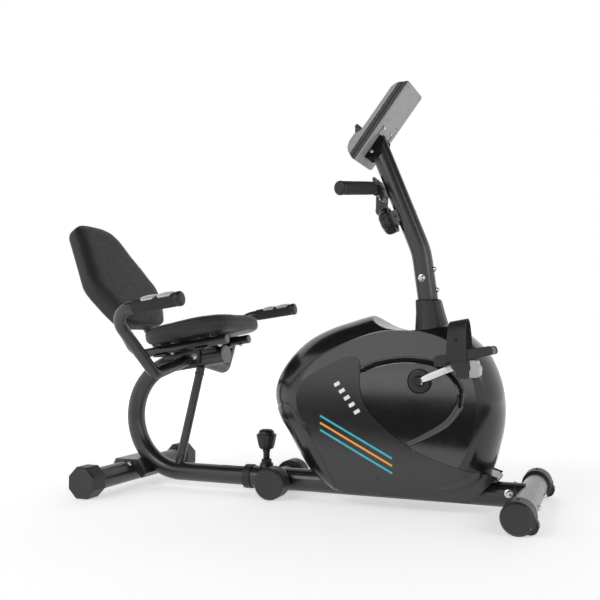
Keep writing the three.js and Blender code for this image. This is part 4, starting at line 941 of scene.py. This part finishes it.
def frame_bolts():
    for hand, side in SIDES:
        for i, x in enumerate((-351, -244, -198)):
            dome_bolt(f"rail_bolt_{i + 1}_{hand}", (x, side * 63, rail_z(x) - 12.8),
                      (0.14, side * 0.42, -0.9), 4.8,
                      REAR)
        dome_bolt(f"carrier_bolt_{hand}", (-298, side * 31, 374), (0, side, 0), 6.6, REAR)
        dome_bolt(f"rear_foot_bolt_{hand}", (-492, side * 69, 66), (0.6, 0, 0.8), 6.2, REAR, 1.3)
        dome_bolt(f"post_side_bolt_{hand}", (364, side * 25.2, 573), (0, side, 0), 7.0, FRONT, 1.3)
        dome_bolt(f"base_front_bolt_{hand}", (566, side * 29.4, 50), (0, side, 0.25), 7.0, FRONT, 1.4)
    for i, (x, z) in enumerate(((391.5, 596), (398.0, 543))):
        dome_bolt(f"post_front_bolt_{i + 1}", (x, 0, z), (0.99, 0, 0.12), 5.6, FRONT)
    cap_screw("post_cable_screw", Vector((321, 0, 739.4)) - RIDER_DIR * 25, -RIDER_DIR, 3.4, FRONT)


frame_bolts()

# ------------------------------------------------------------------ adjuster and tension knobs
PIN = (-86, 0, 0)
UP = (0, 0, 1)
KNOB_BASE = Vector((306, 0, 740))
PULL_HEAD = [(8, 118, 0), (14, 119, 0), (18.5, 121, 0.3), (20.6, 124, 0.7), (23.4, 134, 1), (26.2, 147, 1),
             (27.6, 154, 1), (28.2, 156.5, 0.6), (28.0, 158.6, 0.3), (26.6, 160.4, 0.1), (24.8, 161.2, 0),
             (24.2, 160.2, 0), (22.6, 160.2, 0), (22.0, 162.6, 0), (21.4, 165.6, 0), (20.2, 168.6, 0),
             (17.6, 171.4, 0), (13, 173.4, 0), (6, 174.2, 0), (0, 174.3, 0)]
PULL_STEM = [(0, 60), (4.6, 60), (5, 61), (5, 93), (8.6, 93.6), (9, 94.4), (9, 111), (10.5, 113),
             (10.5, 117.5), (8, 119), (0, 119)]
DIAL = [(24, 25.4, 0), (34.0, 25.6, 0.5), (36.4, 27.2, 0.9), (37.6, 30, 1), (37.2, 40, 1), (35.2, 46.4, 1),
        (31.4, 50.6, 0.8), (25.0, 53.6, 0.4), (16.0, 55.2, 0.1), (8.0, 55.9, 0), (0, 56.1, 0)]


def lobed_knob(name, rows, lobes, depth, centre, direction, body, replaces):
    """A turned knob whose rim swells into lobes; rows are (radius, along, how strong the lobes are)."""
    x, y, z = axes_of(direction)
    c = Vector(centre)
    sides = 96
    sections = []
    for r, h, strength in rows:
        ring = []
        for a in (2 * math.pi * i / sides for i in range(sides)):
            lobe = max(r - depth * strength * (0.5 - 0.5 * math.cos(lobes * a)), 0.02)
            ring.append(place(*(c + z * h + x * lobe * math.cos(a) + y * lobe * math.sin(a))))
        sections.append(ring)
    loft(name, sections, KNOB, body, replaces, smooth=45)


def dial_pointer():
    """The white tick on the dial's rim."""
    x, y, z = axes_of(RIDER_DIR)
    corners = ((-1.4, 4), (1.4, 4), (1.4, 14), (-1.4, 14))
    rows = [[place(*(KNOB_BASE + x * a + y * b + z * h)) for a, b in corners] for h in (52, 55.8)]
    bevel(loft("tension_dial_pointer", rows, WHITE, "tension_dial", smooth=30), 0.6, 3)


def knobs():
    lobed_knob("pull_knob_head", PULL_HEAD, 10, 1.5, PIN, UP, "lock_pin", ("adjuster_knob",))
    lathe("pull_knob_stem", PULL_STEM, PIN, UP, TRIM, "lock_pin", ("adjuster_knob",))
    nut_r, nut_top = 12 / math.cos(deg(30)), 92.5
    bevel(lathe("pin_barrel_nut", [(0, 84), (nut_r, 84), (nut_r, nut_top), (nut_r * 0.62, nut_top + 0.6),
                                   (0, nut_top + 0.6)], PIN, UP, TRIM, FRONT, sides=6, smooth=20), 0.5)
    collar = [(11, 70), (17.5, 70), (18.5, 71.5), (18.5, 80), (17, 82), (12, 82.4), (11, 82.4)]
    lathe("pin_boss_collar", collar, PIN, UP, PAINT, FRONT, sides=44)
    lobed_knob("tension_dial_body", DIAL, 7, 4.2, KNOB_BASE, RIDER_DIR, "tension_dial", ("tension_knob",))
    lathe("tension_dial_ring", [(33.5, 24.6), (35.2, 24.2), (35.4, 22.4), (28, 21.8), (28, 24.6)], KNOB_BASE,
          RIDER_DIR, TRIM, FRONT)
    dial_pointer()
    for hand, side in SIDES:
        at = KNOB_BASE + Vector((0, side * 20.2, 0)) + RIDER_DIR * 10
        cap_screw(f"dial_box_screw_{hand}", at, (0, side, 0), 3.0, FRONT, TRIM)


def clamp_bolts():
    for i, y in enumerate((-11, 11)):
        for sign, tag in ((1, "upper"), (-1, "lower")):
            at = BAR + UPPER_DIR * (sign * 26) + Vector((0, y, 0)) - RIDER_DIR * 1.8
            lathe(f"clamp_washer_{tag}_{i + 1}", [(4, 0), (8.0, 0), (8.0, 1.4), (7.2, 2.2), (4, 2.6)], at,
                  RIDER_DIR, TRIM, FRONT, sides=32)
            dome_bolt(f"clamp_bolt_{tag}_{i + 1}", at + RIDER_DIR * 1.6, RIDER_DIR, 4.4, FRONT, 1.1)


knobs()
clamp_bolts()

# ------------------------------------------------------------------ console
BACK_LOW = Vector((207, 0, 883))
BACK_HIGH = Vector((352, 0, 1067))
CONSOLE_UP = (BACK_HIGH - BACK_LOW).normalized()
CONSOLE_OUT = Vector((-CONSOLE_UP.z, 0, CONSOLE_UP.x))
TOP = (BACK_HIGH - BACK_LOW).length


def console_at(u, y, w=0):
    """A place on the console: u up its back, y across, w out towards the rider."""
    return BACK_LOW + CONSOLE_UP * u + CONSOLE_OUT * w + Vector((0, y, 0))


def console_plate(name, outline, y0, y1, material, replaces=(), edge=1.2, body=FRONT):
    placed = [console_at(u, 0, w) for u, w in outline]
    return plate_xz(name, [(p.x, p.z) for p in placed], y0, y1, material, body, replaces, edge)


def block(u0, u1, w0, w1):
    return [(u0, w0), (u1, w0), (u1, w1), (u0, w1)]


def console():
    case = ("console_body",)
    back = [(3, 0), (TOP - 3, 0), (TOP, 2.4), (TOP - 0.4, 5), (-2.0, 5), (-1, 2)]
    console_plate("console_back_cover", back, -67, 67, CONSOLE_LIGHT, case, 1.8)
    low = [(-2.2, 5.2), (TOP - 0.8, 5.2), (TOP - 2.2, 9), (TOP - 7.5, 14.8), (-2.4, 14.8), (-2.8, 10)]
    console_plate("console_band_low", low, -66.2, 66.2, CONSOLE_DARK, case, 0.8)
    high = [(-1.8, 15.1), (TOP - 7.6, 15.1), (TOP - 14.2, 24.2), (2.0, 24.2)]
    console_plate("console_band_high", high, -67.2, 67.2, CONSOLE_DARK, case, 1.4)
    front = [(2.2, 24.5), (TOP - 14.6, 24.5), (TOP - 20, 29.4), (TOP - 34, 35), (74, 36), (66, 38), (50, 46),
             (28, 46), (14, 41), (6, 33)]
    shell = console_plate("console_front_shell", front, -67, 67, CONSOLE_LIGHT, body=None)
    cutters = [console_plate("cut", block(104, 190, 33, 60), -44, 44, DARK, body=None)]
    cutters += [console_plate("cut", block(82, 96, 31, 60), y - 12, y + 12, DARK, body=None)
                for y in (-38, 0, 38)]
    carve(shell, *cutters)
    bevel(shell, 1.6, 3, 30)
    attach(shell, FRONT, case)
    ledge = [(50, 34), (68, 36), (75, 57), (73.5, 60), (67, 60), (44, 43)]
    console_plate("console_ledge", ledge, -56, 56, CONSOLE_DARK, case, 1.6)
    lip = [(64, 55), (76, 55), (77, 58.5), (74, 61.5), (67, 61.5)]
    console_plate("console_ledge_lip", lip, -57, 57, TRIM, edge=1.4)
    # A dark window frame round the display.
    frames = ((99, 104, -49, 49), (190, 195, -49, 49), (104, 190, -49, -44), (104, 190, 44, 49))
    for k, (u0, u1, y0, y1) in enumerate(frames):
        console_plate(f"console_bezel_{k + 1}", block(u0, u1, 34.4, 36.9), y0, y1, CONSOLE_DARK, edge=0.7)


def console_bracket():
    post = ("upright_post",)
    console_plate("console_bracket_plate", block(18, 88, -3.3, -0.3), -30, 30, DARK, post, 0.8)
    for i, y in enumerate((-31.6, 28.6)):
        cheek = [(17, -0.2), (88, -0.2), (84, -16), (50, -30), (28, -22)]
        console_plate(f"console_bracket_cheek_{i + 1}", cheek, y, y + 3, DARK, post, 0.7)
    for i, (hand, side) in enumerate(SIDES):
        tab = [(80, -1.4), (111, -1.4), (112, -0.2), (80, -0.2)]
        console_plate(f"console_bracket_tab_{hand}", tab, side * 44 - 1, side * 44 + 1, PAINT, edge=0.4)
        dome_bolt(f"console_screw_{i + 1}", console_at(106, side * 32), -CONSOLE_OUT, 4.2, FRONT, 1.15)
        cap_screw(f"console_hinge_screw_{hand}", console_at(40, side * 31.6, -9), (0, side, 0), 4.6, FRONT)
    # The screw holes are near-black inserts: painted shade in them.
    hole = [(0, -2), (2.6, -2), (2.6, 0.15), (2.2, 0.3), (1.8, -0.9), (0, -0.9)]
    for i, (u, y) in enumerate(((127, -44), (127, 44), (222, -56), (222, 56))):
        lathe(f"console_case_hole_{i + 1}", hole, console_at(u, y), -CONSOLE_OUT, DARK, FRONT, sides=28)


console()
console_bracket()

# ------------------------------------------------------------------ cranks and pedals
CRANK_ANGLE = deg(22)
CRANK_Y, CRANK_REACH = 108, 121
# The crank arm's sections: along, half width, half thickness, how far it leans in to the housing.
ARM = ((-3, 1.6, 2.4, 7.0), (-1, 2.6, 3.2, 6.4), (5, 4.6, 4.4, 4.6), (14, 6.6, 5.2, 2.4), (26, 7.8, 5.8, 0.6),
       (36, 8.0, 6.0, 0), (80, 7.8, 5.8, 0), (104, 8.2, 5.8, 0), (120, 9.8, 6.0, 0), (127, 8.0, 5.4, 0))
# The pedal's plates in the side view, from its spindle.
TAIL = [(-54, -3), (-51, -7), (-40, -7)]
NOSE = [(44, 14), (76, 21), (79, 26), (76, 37), (70, 39.5), (26, 32.6), (-20, 22.5), (-50, 17), (-54, 12)]
BELLY = [(-20, 3), (-8, 9), (-7, -14), (-2, -30), (3, -33.8), (21, -33.8), (25.6, -30), (26.6, 10)]
REAR_BAR = [(-52.6, -2.4), (-50, -5.6), (-41, -5.6), (-41.5, 15), (-49, 15.6), (-52.6, 11)]
FRONT_BAR = [(56, 18), (74.8, 22), (77.4, 26.4), (74.6, 36), (69.4, 38), (54, 35.6)]
WEIGHT = [(0, -31), (42, -31), (47, -26), (47.6, -8), (43, -3), (42, 8), (27.6, 8), (27.6, -14), (0, -14)]
BARREL = [(7, 0), (12.4, 0), (13, 1.2), (13, 20), (11.2, 24), (11.2, 48), (13, 52), (13, 66), (12, 69),
          (6, 69)]
AXLE = [(0, -12), (6, -12), (6, -6), (7.6, -5.4), (7.6, -1.4), (6, -0.6), (0, -0.6)]
PEDAL_NEAR, PEDAL_FAR = 117, 193


def crank_arm(hand, side):
    """The arm with its hub and eye; gives the pedal's spindle place."""
    turn = -side
    along = Vector((math.cos(CRANK_ANGLE), 0, math.sin(CRANK_ANGLE))) * turn
    up = Vector((-along.z, 0, along.x))
    hub = CRANK + Vector((0, side * CRANK_Y, 0))
    node = (f"crank_arm_{hand}",)
    sections = []
    for s, wide, thick, inward in ARM:
        ring = []
        for c, q in circle(1, 40):
            u = wide * math.copysign(abs(c) ** 0.36, c)
            v = thick * math.copysign(abs(q) ** 0.36, q)
            if q * side > 0 and 20 < s < 110:
                v -= side * 0.4 * max(0, 1 - ((u - 0.25 * wide) / (0.22 * wide)) ** 2)
            ring.append(place(*(hub + Vector((0, v - side * inward, 0)) + along * s + up * u)))
        sections.append(ring)
    loft(f"crank_bar_{hand}", sections, ARM_PLATE, "crank", node)
    out = (0, side, 0)
    lathe(f"crank_hub_{hand}", [(0, -10.4), (11, -10.4), (11.8, -9.6), (11.8, -6), (10.4, -5), (0, -5)],
          hub, out, KNOB, "crank", node)
    lathe(f"crank_nut_{hand}", [(0, -6), (3.4, -6), (3.4, -2.4), (2.6, -1.6), (0, -1.6)],
          hub - up * 7 + along * 5, out, BOLT, "crank", sides=20)
    eye = hub + along * CRANK_REACH
    lathe(f"crank_eye_{hand}", [(6.4, -6.2), (11.4, -6.2), (12.6, -5), (12.6, 5), (11.4, 6.2), (6.4, 6.2)],
          eye, out, ARM_PLATE, "crank", node)
    lathe(f"pedal_spindle_end_{hand}", [(0, -7.4), (4.6, -7.4), (6, -6.4), (6, -4), (0, -4)], eye, out, STEEL,
          f"pedal_set_{hand}")
    return eye


def pedal(hand, side, eye):
    """Two side plates joined by bars, ribs and treads, with the weight that keeps it level."""
    x, z = eye.x, eye.z
    body, node = f"pedal_set_{hand}", (f"pedal_{hand}",)

    def slab(name, outline, y0, y1, material=CAP, edge=1.6):
        plate_xz(f"{name}_{hand}", [(x + a, z + b) for a, b in outline], *sorted((side * y0, side * y1)),
                 material, body, node, edge)

    slab("pedal_inner_plate", [*TAIL, (-20, -1), (20, 8), *NOSE], 118, 124.6)
    slab("pedal_outer_plate", [*TAIL, *BELLY, *NOSE], 186, PEDAL_FAR)
    slab("pedal_rear_bar", REAR_BAR, 124, 186.6)
    slab("pedal_front_bar", FRONT_BAR, 124, 186.6)
    for i, y in enumerate((137, 155, 173)):
        slab(f"pedal_rib_{i + 1}", [(-42, 2), (-42, 15.6), (56, 33.4), (58, 21)], y - 1.6, y + 1.6, edge=0.6)
    for i, u in enumerate((-26, 14)):
        tread = [(u + a, b + 0.2 * u) for a, b in ((-5, 12), (5, 14), (5, 25), (-5, 23))]
        slab(f"pedal_tread_{i + 1}", tread, 124, 186.6, edge=1.4)
    slab("pedal_weight", WEIGHT, 148, 191.6, PEDAL_WEIGHT, 2.6)
    near, out = (x, side * PEDAL_NEAR, z), (0, side, 0)
    lathe(f"pedal_plate_dome_{hand}", [(0, -2), (15.4, -2), (15.4, 0.3), (14.4, 1.0), (9, 1.2), (0, 1.2)],
          (x, side * PEDAL_FAR, z - 2), out, CAP, body, sides=56)
    lathe(f"pedal_barrel_{hand}", BARREL, near, out, CAP, body, node)
    lathe(f"pedal_axle_{hand}", AXLE, near, out, STEEL, body, node)


def strap(hand, side, eye):
    """Ribbed strap over the foot, with a row of adjusting holes."""
    x, z = eye.x - 2, eye.z
    body = f"pedal_set_{hand}"
    near, far = PEDAL_NEAR, PEDAL_FAR
    line = curve_through([(far + 2.2, 4), (far + 2.2, 22), (far - 2, 58), (far - 16, 88), (far - 38, 98),
                          (near + 16, 90), (near + 4, 66), (near - 0.8, 34), (near - 0.8, 6)], 64)
    n = len(line)
    rows = []
    for i, (y, h) in enumerate(line):
        t = line[min(i + 1, n - 1)] - line[max(i - 1, 0)]
        t = t / np.linalg.norm(t)
        half = 23.5 - 3 * math.sin(math.pi * i / (n - 1))
        ridge = 0.35 if i % 4 < 2 else 0
        lip, floor = 1 + ridge, 0.75 + ridge
        ring = []
        for u, v in ((-1, -1), (-0.86, -1), (0.86, -1), (1, -1), (1, 0.7), (0.86, lip), (0.84, floor),
                     (-0.84, floor), (-0.86, lip), (-1, 0.7)):
            level = h + t[0] * v * 1.1
            lean = 0.17 * u * half * min(1.0, max(0.0, level / 60))
            ring.append(place(x + u * half, side * (y - t[1] * v * 1.1), z + level + lean))
        rows.append(ring)
    loft(f"foot_strap_{hand}", rows, STRAP, body, (f"pedal_strap_{hand}",), smooth=30)
    # The adjusting holes are near-black inserts: painted shade in them.
    hole = [(0, -1), (3.0, -1), (3.0, 1.4), (2.4, 1.8), (2.0, 0.6), (0, 0.6)]
    for i, h in enumerate((34, 44, 54)):
        at = (x, side * (far + 1.4 - 0.06 * (h - 20)), z + h)
        lathe(f"strap_hole_{i + 1}_{hand}", hole, at, (0, side, -0.05), DARK, body, sides=24)


for hand, side in SIDES:
    eye_at = crank_arm(hand, side)
    pedal(hand, side, eye_at)
    strap(hand, side, eye_at)

# ------------------------------------------------------------------ feet and caps
MIDDLE_X, FRONT_X, FRONT_Z = -37, 609, 37


def cap_patch(hand, side):
    """Ribbed pad moulded on the shoulder of a middle foot cap."""
    rows = []
    for k in range(15):
        a = deg(22 + 46 * k / 14)
        swell = 1.9 * math.sin(math.pi * (k + 1) / 16) ** 0.3
        ring = [(54, 41.0), (86, 41.0)]
        ring += [(86 - 32 * i / 20, 42 + swell * (1 if i % 4 in (1, 2) else 0.72)) for i in range(21)]
        rows.append([place(MIDDLE_X + r * math.cos(a), side * y, BASE_Z + r * math.sin(a)) for y, r in ring])
    loft(f"middle_cap_pad_{hand}", rows, CAP, FRONT, smooth=35)


def foot_details(hand, side):
    out = (0, side, 0)
    dome_bolt(f"front_foot_bolt_{hand}", (FRONT_X + 29, side * 70, 31), (0.98, 0, -0.2), 6.6, FRONT, 1.3)
    cap_patch(hand, side)
    cap_screw(f"roller_axle_{hand}", (634, side * 226.4, 22), out, 4.2, FRONT)
    cap_screw(f"roller_axle_inner_{hand}", (634, side * 189.6, 22), (0, -side, 0), 4.2, FRONT)
    lathe(f"front_cap_mark_{hand}", [(0, -1), (5, -1), (5, 0.1), (4.2, 0.5), (3.0, 0.2), (0, 0.2)],
          (FRONT_X, side * 230, FRONT_Z), out, CAP, FRONT, sides=28)
    cap_screw(f"front_cap_screw_{hand}", (FRONT_X, side * 200, FRONT_Z + 36.4), UP, 3.6, FRONT, TRIM)


for hand, side in SIDES:
    foot_details(hand, side)

# ------------------------------------------------------------------ cushions
SEAT_TILT = deg(10.5)
SEAT_UP = Vector((-math.sin(SEAT_TILT), 0, math.cos(SEAT_TILT)))
SEAT_FORE = Vector((math.cos(SEAT_TILT), 0, math.sin(SEAT_TILT)))
SEAT_BASE = Vector((-283, 0, rail_z(-283) + 20.5))
BACK_BASE = Vector((-515, 0, 452))
BACK_HALF = [(0, 0), (62, 1), (92, 8), (114, 32), (141, 82), (155, 118), (157, 140), (148, 170), (122, 248),
             (103, 306), (94, 332), (78, 351), (50, 362), (0, 366)]
# Sections of the pads and their boards: height over the base, how far inside the outline.
SEAT_PAD = ((2, 6), (5, 0), (12, -2.4), (28, -2.6), (34.6, -0.4), (38, 4.5), (39.8, 14), (40.8, 40),
            (41.2, 70))
SEAT_BOARD = ((0, 11), (0.4, 8.4), (3.4, 7.4), (4.4, 8.4))
BACK_PAD = ((-1.5, 5), (1.5, 0), (8, -3.4), (33, -3.8), (39, -1.6), (43, 3), (45.6, 13), (46.8, 34))
BACK_BOARD = ((-3, 12), (-2.6, 9), (0.6, 8), (1.6, 9))


def run_cloth(obj):
    """Where the pad's points come to rest under the cloth's pressure."""
    cloth = obj.modifiers.new("cloth", "CLOTH")
    settings = cloth.settings
    settings.quality = 5
    settings.mass = 0.3
    settings.use_pressure = True
    settings.uniform_pressure_force = 4.0
    settings.tension_stiffness = settings.compression_stiffness = 15
    settings.bending_stiffness = 2.0
    settings.effector_weights.gravity = 0
    cloth.point_cache.frame_start = 1
    cloth.point_cache.frame_end = 20
    for f in range(1, 21):
        bpy.context.scene.frame_set(f)
    depsgraph = bpy.context.evaluated_depsgraph_get()
    swollen = bpy.data.meshes.new_from_object(obj.evaluated_get(depsgraph))
    moved = rows_of(swollen, "co")
    bpy.data.meshes.remove(swollen)
    obj.modifiers.clear()
    bpy.context.scene.frame_set(1)
    return moved


def swell_pad(obj, limit_of):
    """Moves the points along their normals by the cloth's swell, within limits and evened out."""
    start = rows_of(obj.data, "co")
    moved = run_cloth(obj)
    normals = rows_of(obj.data, "normal")
    swell = np.clip(((moved - start) * normals).sum(axis=1), 0, limit_of(start))
    ends = np.empty(len(obj.data.edges) * 2, int)
    obj.data.edges.foreach_get("vertices", ends)
    a, b = ends.reshape(-1, 2).T
    degree = np.bincount(ends, minlength=len(start))
    for _ in range(14):
        around = np.bincount(a, swell[b], len(start)) + np.bincount(b, swell[a], len(start))
        swell = 0.4 * swell + 0.6 * around / degree
    obj.data.vertices.foreach_set("co", (start + normals * swell[:, None]).ravel())


def pressurise(obj, limit_of):
    """A crowned cushion by cloth simulation; limit_of gives how far each point may move, in metres."""
    m = obj.modifiers.new("remesh", "REMESH")
    m.mode = "VOXEL"
    m.voxel_size = 0.005
    bake(obj)
    swell_pad(obj, limit_of)
    obj.data.update()
    sub = obj.modifiers.new("smooth", "SUBSURF")
    sub.levels = sub.render_levels = 1
    bake(obj)
    for p in obj.data.polygons:
        p.use_smooth = True

    def relax(b):
        for _ in range(2):
            bmesh.ops.smooth_vert(b, verts=b.verts, factor=0.5,
                                  use_axis_x=True, use_axis_y=True, use_axis_z=True)

    edit(obj.data, relax)


def on_surface(obj, points, lift=0.0):
    """Points (mm) moved onto the nearest place of the pad's skin."""
    out = []
    for p in points:
        where, normal = obj.closest_point_on_mesh(place(*p))[1:3]
        q = (where + normal * (lift / 1000)) * 1000
        out.append(Vector((q.x - SHIFT_X, q.y, q.z)))
    return out


def stitch_groove(obj, points, width):
    """Presses a seam line into the pad."""
    depth, between = 0.9, 4
    line = [place(*p) for p in points]
    fine = [a.lerp(b, k / between) for a, b in zip(line, line[1:] + line[:1]) for k in range(between)]
    tree = KDTree(len(fine))
    for i, p in enumerate(fine):
        tree.insert(p, i)
    tree.balance()
    normals = [v.normal.copy() for v in obj.data.vertices]
    for v, normal in zip(obj.data.vertices, normals):
        d = tree.find(v.co)[2] * 1000
        if d < width * 3:
            v.co -= normal * (depth / 1000 * math.exp(-(d / width) ** 2))


def piping(name, points):
    """A closed loop of cord along a seam."""
    rows = []
    for before, p, after in zip([points[-1], *points], points, [*points[1:], points[0]]):
        t = (after - before).normalized()
        u = t.cross(Vector((0.3, 0.2, 1))).normalized()
        v = t.cross(u)
        rows.append([place(*(p + u * a + v * b)) for a, b in circle(1.25, 10)])
    loft(name, [*rows, rows[0]], VINYL, REAR, smooth=180, caps=False)


def superellipse(half_x, half_y, count):
    """A rounded-square loop."""
    power = 2 / 3.4
    return [(half_x * math.copysign(abs(c) ** power, c), half_y * math.copysign(abs(s) ** power, s))
            for c, s in circle(1, count)]


def seat_point(u, v, h):
    return SEAT_BASE + SEAT_FORE * u + Vector((0, v, 0)) + SEAT_UP * h


def back_point(v, h, w):
    return BACK_BASE + BACK_OUT * w + BACK_DIR * h + Vector((0, v, 0))


def seat_sections(rows):
    return [[place(*seat_point(u, v, h)) for u, v in superellipse(131 - inset, 160 - inset, 120)]
            for h, inset in rows]


def seat_cushion():
    def limit(points):
        height = (points - np.array(place(*SEAT_BASE))) @ np.array(SEAT_UP) * 1000
        return np.where(height < 9, 0.0006, np.where(height < 30, 0.0055 * 0.45, 0.0055))

    pad = loft("seat_pad", seat_sections(SEAT_PAD), VINYL, REAR, ("seat_cushion",), smooth=60)
    pressurise(pad, limit)
    seam = on_surface(pad, [seat_point(u, v, 27) for u, v in superellipse(133, 162, 150)])
    stitch_groove(pad, seam, 3.6)
    low = on_surface(pad, [seat_point(u, v, 6.5) for u, v in superellipse(132, 161, 150)])
    stitch_groove(pad, low, 2.4)
    piping("seat_pad_piping", on_surface(pad, seam, 0.5))
    loft("seat_pad_board", seat_sections(SEAT_BOARD), TRIM, REAR, ("seat_cushion",))


def inset_loop(loop, inset):
    t = np.roll(loop, -1, axis=0) - np.roll(loop, 1, axis=0)
    t /= np.linalg.norm(t, axis=1)[:, None]
    return loop + np.stack([-t[:, 1], t[:, 0]], 1) * inset


def back_cushion():
    mirrored = [(-a, b) for a, b in reversed(BACK_HALF[1:-1])]
    loop = curve_through(BACK_HALF + mirrored, 160, closed=True)

    def back_sections(rows):
        return [[place(*back_point(v, h, w)) for v, h in inset_loop(loop, inset)] for w, inset in rows]

    def limit(points):
        depth = (points - np.array(place(*BACK_BASE))) @ np.array(BACK_OUT) * 1000
        return np.where(depth < 4, 0.0006, np.where(depth < 34, 0.0025, 0.005))

    pad = loft("backrest_pad", back_sections(BACK_PAD), VINYL, REAR, ("backrest_cushion",), smooth=60)
    pressurise(pad, limit)
    seam = on_surface(pad, [back_point(v, h, 37) for v, h in inset_loop(loop, -1.6)])
    stitch_groove(pad, seam, 3.8)
    piping("backrest_pad_piping", on_surface(pad, seam, 0.5))
    board = loft("backrest_board", back_sections(BACK_BOARD), TRIM)
    carve(board, *(loft("cut", sweep(rail_line(side, 320), RAIL_R + 0.5, 24), TRIM) for _, side in SIDES))
    attach(board, REAR, ("backrest_cushion",))
    for i, h in enumerate((110, 230)):
        for hand, side in SIDES:
            at = rail_heel(side) + BACK_DIR * h - BACK_OUT * 12.4
            cap_screw(f"backrest_screw_{i + 1}_{hand}", at, -BACK_OUT, 4.6, REAR)


seat_cushion()
back_cushion()
